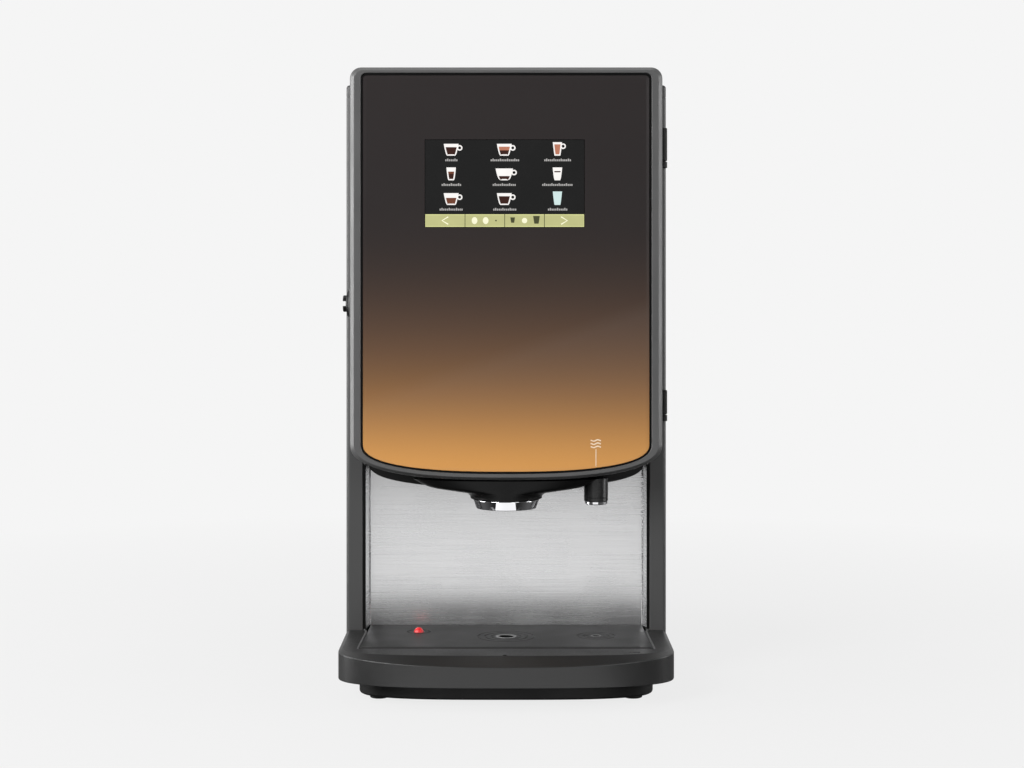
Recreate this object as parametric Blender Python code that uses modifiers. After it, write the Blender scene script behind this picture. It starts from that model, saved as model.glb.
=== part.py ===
"""Tabletop hot drinks vending machine: cabinet, hinged fascia door, drip tray and powder canisters.

Lengths are written in millimetres and converted to metres when a mesh is made.
The front faces -Y, +X is the customer's right, z = 0 is the underside of the feet,
x = 0 is the middle of the cabinet and y = 0 is the middle of the overall depth.
"""

from math import cos, pi, radians, sin

import bmesh
import bpy
from mathutils import Matrix, Vector

MM = 0.001
GAP = 0.3

# Cabinet
HALF_WIDTH = 160.0
BODY_FRONT_Y = -95.0
BODY_REAR_Y = 245.5
BODY_BOTTOM_Z = 20.9
BODY_TOP_Z = 593.0
SHEET = 1.5
CORNER_R = 4.0
PILLAR_WIDTH = 16.8
TOP_COVER_DEPTH = 12.0

# Lower base and feet
BASE_HALF = 141.0
BASE_FRONT_Y = -217.0
BASE_REAR_Y = 238.0
BASE_BOTTOM_Z = 3.5
FOOT_X = 121.0
FOOT_FRONT_Y = -185.0
FOOT_REAR_Y = 200.0
FOOT_R = 9.0

# Serving niche
NICHE_HALF_FRONT = 141.0
NICHE_HALF_REAR = 138.2
SPLASH_Y = -65.0
SPOUT_Y = -130.0
SPOUT_R = 31.9
SPOUT_BOTTOM_Z = 174.5
WATER_X = 88.4
WATER_Y = -127.0
WATER_BOTTOM_Z = 180.8
HEAD_TOP_Z = 238.0

# Drip tray
TRAY_HALF = 159.4
TRAY_FRONT_Y = -247.5
TRAY_REAR_Y = -96.3
TRAY_SHOULDER_Y = -190.0
TRAY_TOP_Z = 48.0
TRAY_DIP = 7.4
PLATE_FRONT_Y = -193.0
PLATE_THICKNESS = 2.4
FLOAT_X = -86.9
FLOAT_Y = -104.0

# Door
DOOR_FRONT_Y = -165.0
DOOR_BACK_Y = -96.5
DOOR_TOP_Z = 604.0
DOOR_BOTTOM_Z = 204.2
DOOR_SHOULDER_Z = 240.0
DOOR_FRONT_HALF = 151.3
DOOR_BACK_HALF = 155.0
PANEL_HALF = 138.4
PANEL_TOP_Z = 595.9
PANEL_BOTTOM_Z = 212.9
DISPLAY_X = -1.4
DISPLAY_Z = 491.5
DISPLAY_SIZE = (153.9, 84.4)

# Door hinges and lock
HINGE_X = 157.0
HINGE_Y = -95.75
HINGE_R = 4.0
HINGE_SPANS = {"upper_hinge": (517.0, 550.0), "lower_hinge": (264.0, 288.0)}
LOCK_Y = -118.0
LOCK_Z = 374.8
LOCK_OUT_X = -161.0

# Powder canisters and mixers
LANE_PITCH = 102.0
LANES = {1: -LANE_PITCH, 2: 0.0, 3: LANE_PITCH}
CANISTER_HALF = 48.0
CANISTER_Y = (-42.0, 142.0)
CANISTER_TOP_Z = 560.0
AUGER_Z = 418.0
SHELF_Z = 398.7
BACK_WALL_Y = 148.0
PARTITION_Y = -18.0
BOWL_Y = -60.0
WHIPPER_Z = 325.0

# Services
FAN_X = 75.0
FAN_Z = 300.0
INLET_X = -95.0
INLET_Z = 75.0
ROCKER_Z = INLET_Z + 16.0
ROCKER_Y = 242.0
VALVE_X = 95.0
VALVE_Z = 75.0
BOILER_X = -75.0
BOILER_Y = 110.0
BOILER_R = 48.0
BOILER_TOP_Z = 165.0

SMILE_POWER = 2.5
TRAY_POWER = 2.9

# Sides given to round pieces
LARGE_ROUND = 18
MID_ROUND = 14
SMALL_ROUND = 10
TINY_ROUND = 8


# ---------------------------------------------------------------- scene and materials

for leftover in list(bpy.data.objects):
    bpy.data.objects.remove(leftover)

PARTS = bpy.data.collections.new("hot_drinks_vending_machine")
CUTTERS = bpy.data.collections.new("cutters")
bpy.context.scene.collection.children.link(PARTS)
bpy.context.scene.collection.children.link(CUTTERS)


def material(name, colour, roughness, metallic=0.0, alpha=1.0):
    mat = bpy.data.materials.new(name)
    mat.use_nodes = True
    shader = mat.node_tree.nodes["Principled BSDF"]
    shader.inputs["Base Color"].default_value = (*colour, 1.0)
    shader.inputs["Roughness"].default_value = roughness
    shader.inputs["Metallic"].default_value = metallic
    shader.inputs["Alpha"].default_value = alpha
    mat.diffuse_color = (*colour, alpha)
    return mat


CHARCOAL_PAINT = (0.085, 0.085, 0.088)
BLACK_PLASTIC = (0.014, 0.014, 0.015)
STAINLESS = (0.62, 0.62, 0.62)
ZINC = (0.45, 0.46, 0.47)
CLEAR_PLASTIC = (0.75, 0.78, 0.80)
MILKY_PLASTIC = (0.80, 0.80, 0.76)


# ---------------------------------------------------------------- modelling helpers

def store(name, mesh, where):
    obj = bpy.data.objects.new(name, mesh)
    where.objects.link(obj)
    if where is CUTTERS:
        obj.hide_render = True
        obj.display_type = "WIRE"
    return obj


def from_bmesh(name, bm, where):
    bmesh.ops.recalc_face_normals(bm, faces=bm.faces)
    mesh = bpy.data.meshes.new(name)
    bm.to_mesh(mesh)
    bm.free()
    return store(name, mesh, where)


def loft(name, rings, where=PARTS, looped=False):
    """Skin between rings of equal length; the ends are capped, or joined when looped."""
    bm = bmesh.new()
    rows = [[bm.verts.new(Vector(p) * MM) for p in ring] for ring in rings]
    pairs = list(zip(rows, rows[1:] + rows[:1])) if looped else list(zip(rows, rows[1:]))
    count = len(rows[0])
    for low, high in pairs:
        for i in range(count):
            j = (i + 1) % count
            bm.faces.new((low[i], low[j], high[j], high[i]))
    if not looped:
        bm.faces.new(rows[0])
        bm.faces.new(rows[-1])
    return from_bmesh(name, bm, where)


def many_boxes(name, ranges, where=CUTTERS):
    """One mesh of separate boxes, each given by its x, y and z range."""
    bm = bmesh.new()
    for xs, ys, zs in ranges:
        size = [high - low for low, high in (xs, ys, zs)]
        middle = Vector([(low + high) / 2 for low, high in (xs, ys, zs)])
        place = Matrix.Translation(middle * MM) @ Matrix.Diagonal([s * MM for s in size] + [1])
        bmesh.ops.create_cube(bm, size=1.0, matrix=place)
    return from_bmesh(name, bm, where)


def box(name, xs, ys, zs, where=PARTS):
    return many_boxes(name, [(xs, ys, zs)], where)


def rod(name, start, end, radius, where=PARTS, end_radius=None, segments=12):
    """A cylinder or cone from start to end."""
    bm = bmesh.new()
    a, b = Vector(start) * MM, Vector(end) * MM
    turn = Vector((0, 0, 1)).rotation_difference(b - a).to_matrix().to_4x4()
    bmesh.ops.create_cone(
        bm,
        cap_ends=True,
        segments=segments,
        radius1=radius * MM,
        radius2=(radius if end_radius is None else end_radius) * MM,
        depth=(b - a).length,
        matrix=Matrix.Translation((a + b) / 2) @ turn,
    )
    return from_bmesh(name, bm, where)


def turned(name, centre, profile, steps):
    """A (radius, z) profile, listed top to bottom down its outer side, turned about a vertical axis."""
    bm = bmesh.new()
    verts = [bm.verts.new((r * MM, 0, z * MM)) for r, z in profile]
    on_axis = profile[0][0] == 0 and profile[-1][0] == 0
    for i in range(len(verts) - 1 if on_axis else len(verts)):
        bm.edges.new((verts[i], verts[(i + 1) % len(verts)]))
    mesh = bpy.data.meshes.new(name)
    bm.to_mesh(mesh)
    bm.free()
    obj = store(name, mesh, PARTS)
    obj.location = Vector((*centre, 0)) * MM
    screw = obj.modifiers.new("turn", "SCREW")
    screw.steps = steps
    screw.render_steps = steps
    screw.use_merge_vertices = True
    screw.merge_threshold = 0.00001
    return obj


def folded_sheet(name, path, along, low, high, thickness, side):
    """A sheet bent along a path in the plane across one axis; side picks where its thickness goes."""
    bm = bmesh.new()

    def place(u, v, w):
        order = {"X": (w, u, v), "Z": (u, v, w)}
        return Vector(order[along]) * MM

    rows = [(bm.verts.new(place(u, v, low)), bm.verts.new(place(u, v, high))) for u, v in path]
    for (a, b), (c, d) in zip(rows, rows[1:]):
        bm.faces.new((a, c, d, b))
    mesh = bpy.data.meshes.new(name)
    bm.to_mesh(mesh)
    bm.free()
    obj = store(name, mesh, PARTS)
    solid = obj.modifiers.new("sheet", "SOLIDIFY")
    solid.thickness = thickness * MM
    solid.offset = side
    solid.use_even_offset = True
    return obj


def combine(obj, other, operation):
    step = obj.modifiers.new(operation.lower(), "BOOLEAN")
    step.operation = operation
    step.object = other
    return obj


def cut(obj, *others):
    for other in others:
        combine(obj, other, "DIFFERENCE")
    return obj


def join(obj, *others):
    for other in others:
        combine(obj, other, "UNION")
    return obj


def triangulate(obj):
    """Splits twisted faces into flat triangles, so that every format holds the same shape."""
    bm = bmesh.new()
    bm.from_mesh(obj.data)
    bmesh.ops.triangulate(bm, faces=bm.faces)
    bm.to_mesh(obj.data)
    bm.free()


def finish(obj, mat):
    mesh = obj.data
    mesh.materials.clear()
    mesh.materials.append(mat)
    mesh.shade_smooth()
    mesh.set_sharp_from_angle(angle=radians(35))
    return obj


def one_per_lane(prototype, name, mat):
    """Copies of a piece modelled in the middle lane, one for each canister lane."""
    bpy.context.view_layer.update()
    graph = bpy.context.evaluated_depsgraph_get()
    mesh = bpy.data.meshes.new_from_object(prototype.evaluated_get(graph))
    mesh.name = name
    turn = prototype.matrix_world.copy()
    bpy.data.objects.remove(prototype)
    copies = {}
    for lane, x in LANES.items():
        copy = store(f"{name}_{lane}", mesh, PARTS)
        copy.matrix_world = Matrix.Translation((x * MM, 0, 0)) @ turn
        copies[lane] = finish(copy, mat)
    return copies


def pivot(name, place, *children):
    """An empty on a joint's axis that carries the pieces moved by the joint."""
    empty = store(name, None, PARTS)
    empty.empty_display_size = 0.02
    empty.location = Vector(place) * MM
    for child in children:
        child.parent = empty
        child.matrix_parent_inverse = Matrix.Translation(Vector(place) * MM).inverted()
    return empty


def arc(centre, radius, start, end, steps):
    """Points on an arc, angles in degrees."""
    angles = [radians(start + (end - start) * i / steps) for i in range(steps + 1)]
    return [(centre[0] + radius * cos(a), centre[1] + radius * sin(a)) for a in angles]


def superellipse(half, depth, power, steps):
    """A quarter superellipse from (half, 0) to (0, depth)."""
    points = []
    for i in range(steps + 1):
        a = pi / 2 * i / steps
        points.append((half * max(cos(a), 0.0) ** (2 / power), depth * sin(a) ** (2 / power)))
    return points


def mirrored(right):
    """A closed outline from its right half, which starts on the centre line."""
    return right + [(-u, v) for u, v in reversed(right[1:])]


def rounded_rectangle(half_u, low_v, high_v, radius, steps=4):
    corners = [
        ((half_u - radius, low_v + radius), -90),
        ((half_u - radius, high_v - radius), 0),
        ((-half_u + radius, high_v - radius), 90),
        ((-half_u + radius, low_v + radius), 180),
    ]
    return [p for centre, start in corners for p in arc(centre, radius, start, start + 90, steps)]


def door_outline(half, top, bottom, corner, y):
    """The fascia outline: straight top, rounded upper corners and a bowed lower edge."""
    bow = superellipse(half, DOOR_SHOULDER_Z - bottom, SMILE_POWER, 9)
    right = [(u, DOOR_SHOULDER_Z - v) for u, v in reversed(bow)]
    right[0] = (0.0, bottom)
    right += arc((half - corner, top - corner), corner, 0, 90, 3)
    return [(x, y, z) for x, z in mirrored(right)]


def tray_outline(half, front, rear, height, shoulder=TRAY_SHOULDER_Y, power=TRAY_POWER):
    """The plan of the tray: straight back and sides, bowed front; height gives z from x."""
    bow = superellipse(half, shoulder - front, power, 9)
    right = [(u, shoulder - v) for u, v in reversed(bow)]
    right[0] = (0.0, front)
    right.append((half, rear))
    return [(x, y, height(x)) for x, y in mirrored(right)]


def level(z):
    return lambda x: z


# ---------------------------------------------------------------- cabinet

def side_panel(side):
    """Folded side sheet: rear flange, side, rounded front corner, pillar face and its return."""
    x, front, rear = HALF_WIDTH, BODY_FRONT_Y, BODY_REAR_Y - SHEET - GAP
    pillar = HALF_WIDTH - PILLAR_WIDTH
    path = [(x - 14, rear)]
    path += arc((x - CORNER_R, rear - CORNER_R), CORNER_R, 90, 0, 3)
    path += arc((x - CORNER_R, front + CORNER_R), CORNER_R, 0, -90, 3)
    path += [(pillar, front), (pillar, front + 20)]
    name = "right_side_panel" if side > 0 else "left_side_panel"
    if side < 0:
        path = [(-u, v) for u, v in reversed(path)]
    top = BODY_TOP_Z - TOP_COVER_DEPTH - GAP
    panel = folded_sheet(name, path, "Z", BODY_BOTTOM_Z, top, SHEET, 1.0)
    width = sorted((side * (x - 28), side * (x - 0.7)))
    depth = (front + 1.2, rear - 0.7)
    height = (BODY_BOTTOM_Z + 0.05, BODY_BOTTOM_Z + SHEET)
    join(panel, box(name + "_flange", width, depth, height, CUTTERS))
    if side > 0:
        notches = []
        for low, high in HINGE_SPANS.values():
            notches.append(((152.6, 161.5), (-97.0, -91.2), (low - 7.4, high + 0.4)))
        cut(panel, many_boxes("hinge_notches", notches))
    else:
        cut(panel, box("cam_slot", (-154.0, -145.6), (-96.0, -92.5), (348.0, 382.0), CUTTERS))
    return finish(panel, material(name + "_paint", CHARCOAL_PAINT, 0.5))


def top_cover():
    def ring(inset, z):
        outline = rounded_rectangle(
            HALF_WIDTH - inset, BODY_FRONT_Y + inset, BODY_REAR_Y - inset, max(CORNER_R - inset, 1.0)
        )
        return [(x, y, z) for x, y in outline]

    low = BODY_TOP_Z - TOP_COVER_DEPTH
    rings = [
        ring(SHEET, BODY_TOP_Z - SHEET),
        ring(SHEET, low),
        ring(0, low),
        ring(0, BODY_TOP_Z - 3),
        ring(0.9, BODY_TOP_Z - 0.9),
        ring(3, BODY_TOP_Z),
    ]
    return finish(loft("top_cover", rings), material("top_cover_paint", CHARCOAL_PAINT, 0.5))


def rear_panel():
    panel = box("rear_panel", (-157, 157), (BODY_REAR_Y - SHEET, BODY_REAR_Y), (23, 579))
    through = (BODY_REAR_Y - 4, BODY_REAR_Y + 2)
    slots = [((FAN_X - 32, FAN_X + 32), through, (z - 2, z + 2)) for z in range(270, 331, 10)]
    slots += [((-120, -60), through, (z - 2, z + 2)) for z in range(270, 331, 10)]
    slots += [((-40, 40), through, (z - 2, z + 2)) for z in range(530, 561, 10)]
    slots.append(((INLET_X - 22.4, INLET_X + 22.4), through, (INLET_Z - 29.4, INLET_Z + 29.4)))
    front, rear = ((VALVE_X, y, VALVE_Z) for y in through)
    port = rod("valve_port", front, rear, 10.6, CUTTERS)
    cut(panel, many_boxes("rear_slots", slots), port)
    return finish(panel, material("rear_panel_paint", CHARCOAL_PAINT, 0.5))


def base_pan():
    """Open pan that stands on the feet and carries the cabinet and the drip tray."""
    def ring(inset, z):
        return tray_outline(
            BASE_HALF - inset, BASE_FRONT_Y + inset, BASE_REAR_Y - inset, level(z), -165.0, 3.2
        )

    low, high = BASE_BOTTOM_Z, BODY_BOTTOM_Z - GAP
    rings = [ring(2, low + 2), ring(2, high), ring(0, high), ring(0, low + 1.5), ring(1.5, low)]
    pan = loft("base_pan", rings)
    for i, (x, y) in enumerate(foot_places().values()):
        cut(pan, rod(f"foot_hole_{i}", (x, y, 0), (x, y, 10), 3.4, CUTTERS, segments=SMALL_ROUND))
    return finish(pan, material("base_pan_plastic", BLACK_PLASTIC, 0.55))


def foot_places():
    return {
        "foot_front_left": (-FOOT_X, FOOT_FRONT_Y),
        "foot_front_right": (FOOT_X, FOOT_FRONT_Y),
        "foot_rear_left": (-FOOT_X, FOOT_REAR_Y),
        "foot_rear_right": (FOOT_X, FOOT_REAR_Y),
    }


def feet():
    """Push-in rubber feet: a flat pad, a stem through the pan and a barb above it."""
    top = BASE_BOTTOM_Z - GAP
    inside = BASE_BOTTOM_Z + 2 + GAP
    profile = [(0, inside + 4), (2.5, inside + 3), (4.6, inside), (3.0, inside), (3.0, top), (FOOT_R, top)]
    profile += [(FOOT_R, 0.8), (FOOT_R - 0.8, 0), (0, 0)]
    for name, place in foot_places().items():
        foot = turned(name, place, profile, steps=10)
        finish(foot, material(name + "_rubber", (0.02, 0.02, 0.02), 0.9))


def splash_plate():
    """Stainless sheet behind and beside the serving niche."""
    front = BODY_FRONT_Y + 0.6
    path = [(NICHE_HALF_FRONT, front), (NICHE_HALF_REAR, SPLASH_Y)]
    path += [(-NICHE_HALF_REAR, SPLASH_Y), (-NICHE_HALF_FRONT, front)]
    plate = folded_sheet("splash_plate", path, "Z", 24.0, 236.0, 1.2, 1.0)
    return finish(plate, material("splash_plate_steel", STAINLESS, 0.3, 1.0))


def inner_frame():
    """Folded chassis: canister back wall, shelf, mixer partition and the mixer bay floor."""
    path = [(BACK_WALL_Y, 572.0), (BACK_WALL_Y, SHELF_Z), (PARTITION_Y, SHELF_Z)]
    path += [(PARTITION_Y, 245.0), (-62.0, 245.0)]
    frame = folded_sheet("inner_frame", path, "X", -150.0, 150.0, SHEET, -1.0)
    for lane, x in LANES.items():
        hole = rod(f"auger_port_{lane}", (x, 144, AUGER_Z), (x, 153, AUGER_Z), 8.0, CUTTERS)
        port = rod(f"whipper_port_{lane}", (x, -23, WHIPPER_Z), (x, -14, WHIPPER_Z), 6.0, CUTTERS)
        cut(frame, hole, port)
    return finish(frame, material("inner_frame_zinc", ZINC, 0.45, 0.9))


# ---------------------------------------------------------------- serving head

def dispense_head():
    """Black moulding above the niche: a bowed fascia, the spout carrier and the drink channels."""
    bow = superellipse(137.3, 24.0, SMILE_POWER, 8)
    right = [(u, 214.5 - v) for u, v in reversed(bow)] + [(137.3, HEAD_TOP_Z)]
    outline = mirrored(right)
    faces = [[(x, y, z) for x, z in outline] for y in (BODY_FRONT_Y + 0.5, SPLASH_Y - 1.3)]
    head = loft("dispense_head", faces)

    def oval(half_x, half_y, centre_y, z):
        turns = [2 * pi * i / LARGE_ROUND for i in range(LARGE_ROUND)]
        return [(half_x * cos(a), centre_y + half_y * sin(a), z) for a in turns]

    neck = SPOUT_BOTTOM_Z + 9.3
    carrier = loft("carrier", [
        oval(33.4, 33.4, SPOUT_Y, neck),
        oval(35.2, 33.6, SPOUT_Y, neck + 2.6),
        oval(38.0, 33.6, SPOUT_Y, neck + 5.6),
        oval(46.0, 33.4, SPOUT_Y + 0.4, neck + 7.6),
        oval(58.0, 33.0, SPOUT_Y + 0.8, neck + 9.4),
        oval(71.0, 32.6, SPOUT_Y + 1.2, neck + 12.0),
        oval(73.6, 32.4, SPOUT_Y + 1.4, DOOR_BOTTOM_Z - 0.8),
    ], CUTTERS)
    bridge = box("bridge", (-30, 30), (-118, -92), (neck + 2, DOOR_BOTTOM_Z - 1.1), CUTTERS)
    lip = (0, SPOUT_Y, SPOUT_BOTTOM_Z + 2)
    spigot = rod("spigot", lip, (0, SPOUT_Y, neck + 4), 27.0, CUTTERS, segments=LARGE_ROUND)
    join(head, carrier, bridge, spigot)
    for side in (-1, 1):
        xs = sorted((side * 42, side * 130))
        cut(head, box(f"head_pocket_{side + 1}", xs, (-92, -60), (218, HEAD_TOP_Z - 3), CUTTERS))
    for i, x in enumerate((-20, 0, 20)):
        cut(head, rod(f"hose_bore_{i}", (x, -82, 206), (x, -82, 242), 6.2, CUTTERS, segments=SMALL_ROUND))
    cut(head, rod("cross_bore", (-25, -82, 209), (25, -82, 209), 5.5, CUTTERS, segments=SMALL_ROUND))
    cut(head, rod("spout_bore", (0, -79, 210), (0, -138, 172), 6.8, CUTTERS, segments=SMALL_ROUND))
    return finish(head, material("dispense_head_plastic", BLACK_PLASTIC, 0.35))


def spout_ring():
    top, low = SPOUT_BOTTOM_Z + 9.0, SPOUT_BOTTOM_Z
    profile = [(27.4, top), (SPOUT_R, top), (SPOUT_R, low + 1.2), (SPOUT_R - 1.2, low)]
    profile += [(28.0, low), (27.4, low + 0.6)]
    ring = turned("spout_ring", (0, SPOUT_Y), profile, steps=20)
    return finish(ring, material("spout_ring_chrome", (0.85, 0.85, 0.86), 0.08, 1.0))


def hot_water_outlet():
    low, high = WATER_BOTTOM_Z, DOOR_BOTTOM_Z - 0.8
    profile = [(0, high), (11.8, high), (11.8, low + 1), (10.8, low), (6.0, low)]
    profile += [(6.0, low + 8), (0, low + 8)]
    outlet = turned("hot_water_outlet", (WATER_X, WATER_Y), profile, steps=18)
    rear = (-125.0, BODY_FRONT_Y + 0.2)
    arm = box("water_arm", (WATER_X - 8, WATER_X + 8), rear, (196, high - 0.7), CUTTERS)
    join(outlet, arm)
    return finish(outlet, material("hot_water_outlet_plastic", BLACK_PLASTIC, 0.35))


def hot_water_ring():
    top = WATER_BOTTOM_Z - GAP
    profile = [(6.2, top), (10.4, top), (10.4, top - 2.4), (9.6, top - 3.2)]
    profile += [(6.8, top - 3.2), (6.2, top - 2.6)]
    ring = turned("hot_water_ring", (WATER_X, WATER_Y), profile, steps=16)
    return finish(ring, material("hot_water_ring_chrome", (0.85, 0.85, 0.86), 0.08, 1.0))


# ---------------------------------------------------------------- drip tray

def plate_half(y):
    """Half width of the cup plate, which widens a little towards the front."""
    return 137.4 + 2.4 * (-66.0 - y) / 127.0


def drip_tray():
    def rim(x):
        return TRAY_TOP_Z - 1.2 - (TRAY_DIP - 1.2) * (1 - abs(x / TRAY_HALF) ** 2.2)

    tray = loft("drip_tray", [
        tray_outline(TRAY_HALF - 1.5, TRAY_FRONT_Y + 1.5, TRAY_REAR_Y, level(BODY_BOTTOM_Z)),
        tray_outline(TRAY_HALF, TRAY_FRONT_Y, TRAY_REAR_Y, level(BODY_BOTTOM_Z + 1.5)),
        tray_outline(TRAY_HALF - 1.0, TRAY_FRONT_Y + 0.3, TRAY_REAR_Y, rim),
        tray_outline(TRAY_HALF - 2.4, TRAY_FRONT_Y + 17.3, TRAY_REAR_Y, level(TRAY_TOP_Z)),
    ])

    def recess(extra, z):
        front, rear = PLATE_FRONT_Y - 0.3 - extra / 2, TRAY_REAR_Y + 2
        wide, narrow = plate_half(front) + extra, plate_half(rear) + extra
        return [(-wide, front, z), (wide, front, z), (narrow, rear, z), (-narrow, rear, z)]

    seat = TRAY_TOP_Z - PLATE_THICKNESS - GAP
    levels = [recess(0.4, seat), recess(0.4, seat + 0.9), recess(2.6, TRAY_TOP_Z + 0.6)]
    cut(tray, loft("plate_recess", levels, CUTTERS))
    basin = [
        [(x, y, z) for x, y in rounded_rectangle(half, -188 + inset, -99.8 - inset, 12)]
        for half, inset, z in ((132, 0.4, BODY_BOTTOM_Z + 2.5), (133, 0, 49))
    ]
    cut(tray, loft("tray_basin", basin, CUTTERS))
    hollow = [
        tray_outline(half, front, -191.5, level(z), -192.0)
        for half, front, z in ((154, -244, 20), (154, -244, 35), (151, -229, 42.5))
    ]
    cut(tray, loft("tray_hollow", hollow, CUTTERS))
    return finish(tray, material("drip_tray_plastic", (0.055, 0.055, 0.057), 0.45))


def drip_grille():
    """Cup plate with a funnel drain under the spout, a drain under the water tap and the float hole."""
    front, rear = PLATE_FRONT_Y, SPLASH_Y - 0.8
    corner = 3.0

    def ring(z):
        wide, narrow = plate_half(front), plate_half(rear)
        right = [(wide - corner, front), (wide, front + corner), (narrow, rear)]
        return [(x, y, z) for x, y in [(0, front)] + right + [(-u, v) for u, v in reversed(right)]]

    low = TRAY_TOP_Z - PLATE_THICKNESS
    plate = loft("drip_grille", [ring(low), ring(TRAY_TOP_Z)])
    cup = (0.0, SPOUT_Y)
    water = (WATER_X, WATER_Y)
    marker = (FLOAT_X, FLOAT_Y)
    cut(
        plate,
        rod("cup_funnel", (*cup, TRAY_TOP_Z - 1.2), (*cup, 50), 7.5, CUTTERS, 16.0, LARGE_ROUND),
        rod("cup_drain", (*cup, 40), (*cup, 49), 7.4, CUTTERS, segments=LARGE_ROUND),
        rod("water_drain", (*water, 40), (*water, 50), 4.0, CUTTERS),
        rod("float_hole", (*marker, 40), (*marker, 50), 5.5, CUTTERS),
    )
    return finish(plate, material("drip_grille_paint", (0.055, 0.055, 0.057), 0.4))


def tray_float():
    """Red full-tray marker: a cap in the plate, a stem and a float in the basin."""
    place = (FLOAT_X, FLOAT_Y)
    profile = [(0, 52.4), (2.2, 51.7), (4.2, 49.8), (5.0, 47.6), (5.0, 46.2), (3.0, 45.7)]
    profile += [(3.0, 30.0), (0, 30.0)]
    marker = turned("tray_float", place, profile, steps=16)
    below = (FLOAT_X, FLOAT_Y - 9.6)
    disc = rod("float_disc", (*below, 27), (*below, 33), 12.0, CUTTERS, segments=SMALL_ROUND)
    join(marker, disc)
    return finish(marker, material("tray_float_plastic", (0.55, 0.03, 0.02), 0.4))


# ---------------------------------------------------------------- door

def door_frame():
    """Fascia frame: front rim, side walls, and an inner ledge that the printed panel sits on."""
    front, back = DOOR_FRONT_Y, DOOR_BACK_Y
    ledge = 6.5
    opening = (PANEL_HALF + 0.4, PANEL_TOP_Z + 0.4, PANEL_BOTTOM_Z - 0.4, 4.4)
    behind = (PANEL_HALF - ledge, PANEL_TOP_Z - ledge, PANEL_BOTTOM_Z + ledge, 3.0)
    top, low, half = DOOR_TOP_Z, DOOR_BOTTOM_Z, DOOR_FRONT_HALF
    wall = 3.0
    frame = loft("door_frame", [
        door_outline(*opening, front),
        door_outline(half - 4.2, top - 3.4, low + 3.4, 8.0, front),
        door_outline(half - 1.3, top - 1.0, low + 1.0, 10.0, front + 1.4),
        door_outline(half, top, low, 11.0, front + 4.6),
        door_outline(DOOR_BACK_HALF, top, low, 12.0, back),
        door_outline(DOOR_BACK_HALF - wall, top - wall, low + wall, 9.0, back),
        door_outline(half - wall, top - wall, low + wall, 8.0, front + 7.2),
        door_outline(*behind, front + 7.2),
        door_outline(*behind, front + 4.2),
        door_outline(*opening, front + 4.2),
    ], looped=True)
    lock = (LOCK_Y, LOCK_Z)
    boss = rod("lock_boss", (-151.0, *lock), (-154.6, *lock), 15.0, CUTTERS, segments=LARGE_ROUND)
    bore = rod("lock_bore", (-145.0, *lock), (-158.0, *lock), 9.3, CUTTERS, segments=LARGE_ROUND)
    join(frame, boss)
    cut(frame, bore)
    for name, (z0, z1) in HINGE_SPANS.items():
        axis = (HINGE_X, HINGE_Y)
        room = rod(f"{name}_room", (*axis, z0 - 0.4), (*axis, z1 + 0.4), HINGE_R + 0.5, CUTTERS)
        knuckle = rod(f"{name}_knuckle", (*axis, z0 - 7), (*axis, z0 - 0.7), HINGE_R, CUTTERS)
        tab = box(f"{name}_tab", (152.3, 157), (-99.4, -96.7), (z0 - 6.9, z0 - 0.8), CUTTERS)
        hole = rod(f"{name}_hole", (*axis, z0 - 9), (*axis, z0), 1.8, CUTTERS, segments=TINY_ROUND)
        cut(frame, room)
        join(frame, tab, knuckle)
        cut(frame, hole)
    return finish(frame, material("door_frame_plastic", CHARCOAL_PAINT, 0.4))


def front_panel():
    """Printed plastic sheet with the window for the display."""
    size = (PANEL_HALF, PANEL_TOP_Z, PANEL_BOTTOM_Z, 4.0)
    front = DOOR_FRONT_Y + 0.7
    panel = loft("front_panel", [door_outline(*size, front), door_outline(*size, front + 3.2)])
    half_x, half_z = DISPLAY_SIZE[0] / 2 + 0.3, DISPLAY_SIZE[1] / 2 + 0.3
    window = box(
        "display_window",
        (DISPLAY_X - half_x, DISPLAY_X + half_x),
        (front - 5, front + 8),
        (DISPLAY_Z - half_z, DISPLAY_Z + half_z),
        CUTTERS,
    )
    cut(panel, window)
    return finish(panel, material("front_panel_print", (0.035, 0.03, 0.03), 0.12))


def touch_display():
    """Display module: the glass fills the window and the housing stands behind the panel."""
    front = DOOR_FRONT_Y + 0.9

    def ring(extra, y):
        half_x, half_z = DISPLAY_SIZE[0] / 2 + extra, DISPLAY_SIZE[1] / 2 + extra
        low, high = DISPLAY_Z - half_z, DISPLAY_Z + half_z
        outline = rounded_rectangle(half_x, low, high, 1.0 + extra / 4, 2)
        return [(x + DISPLAY_X, y, z) for x, z in outline]

    back = front + 3.3
    rings = [ring(0, front), ring(0, back), ring(8, back), ring(8, back + 9), ring(4, back + 12)]
    display = loft("touch_display", rings)
    return finish(display, material("touch_display_glass", (0.016, 0.016, 0.017), 0.1))


def door_liner():
    """Sheet that closes the back of the door, notched for the lock cam."""
    half = DOOR_BACK_HALF - 3.6
    size = (half, DOOR_TOP_Z - 3.6, DOOR_BOTTOM_Z + 3.6, 8.0)
    faces = [door_outline(*size, DOOR_BACK_Y - depth) for depth in (2.5, 1.0)]
    liner = loft("door_liner", faces)
    notch = box("liner_notch", (-half - 2, -143.0), (-101, -95), (346.0, 384.0), CUTTERS)
    cut(liner, notch)
    return finish(liner, material("door_liner_zinc", ZINC, 0.45, 0.9))


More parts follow.
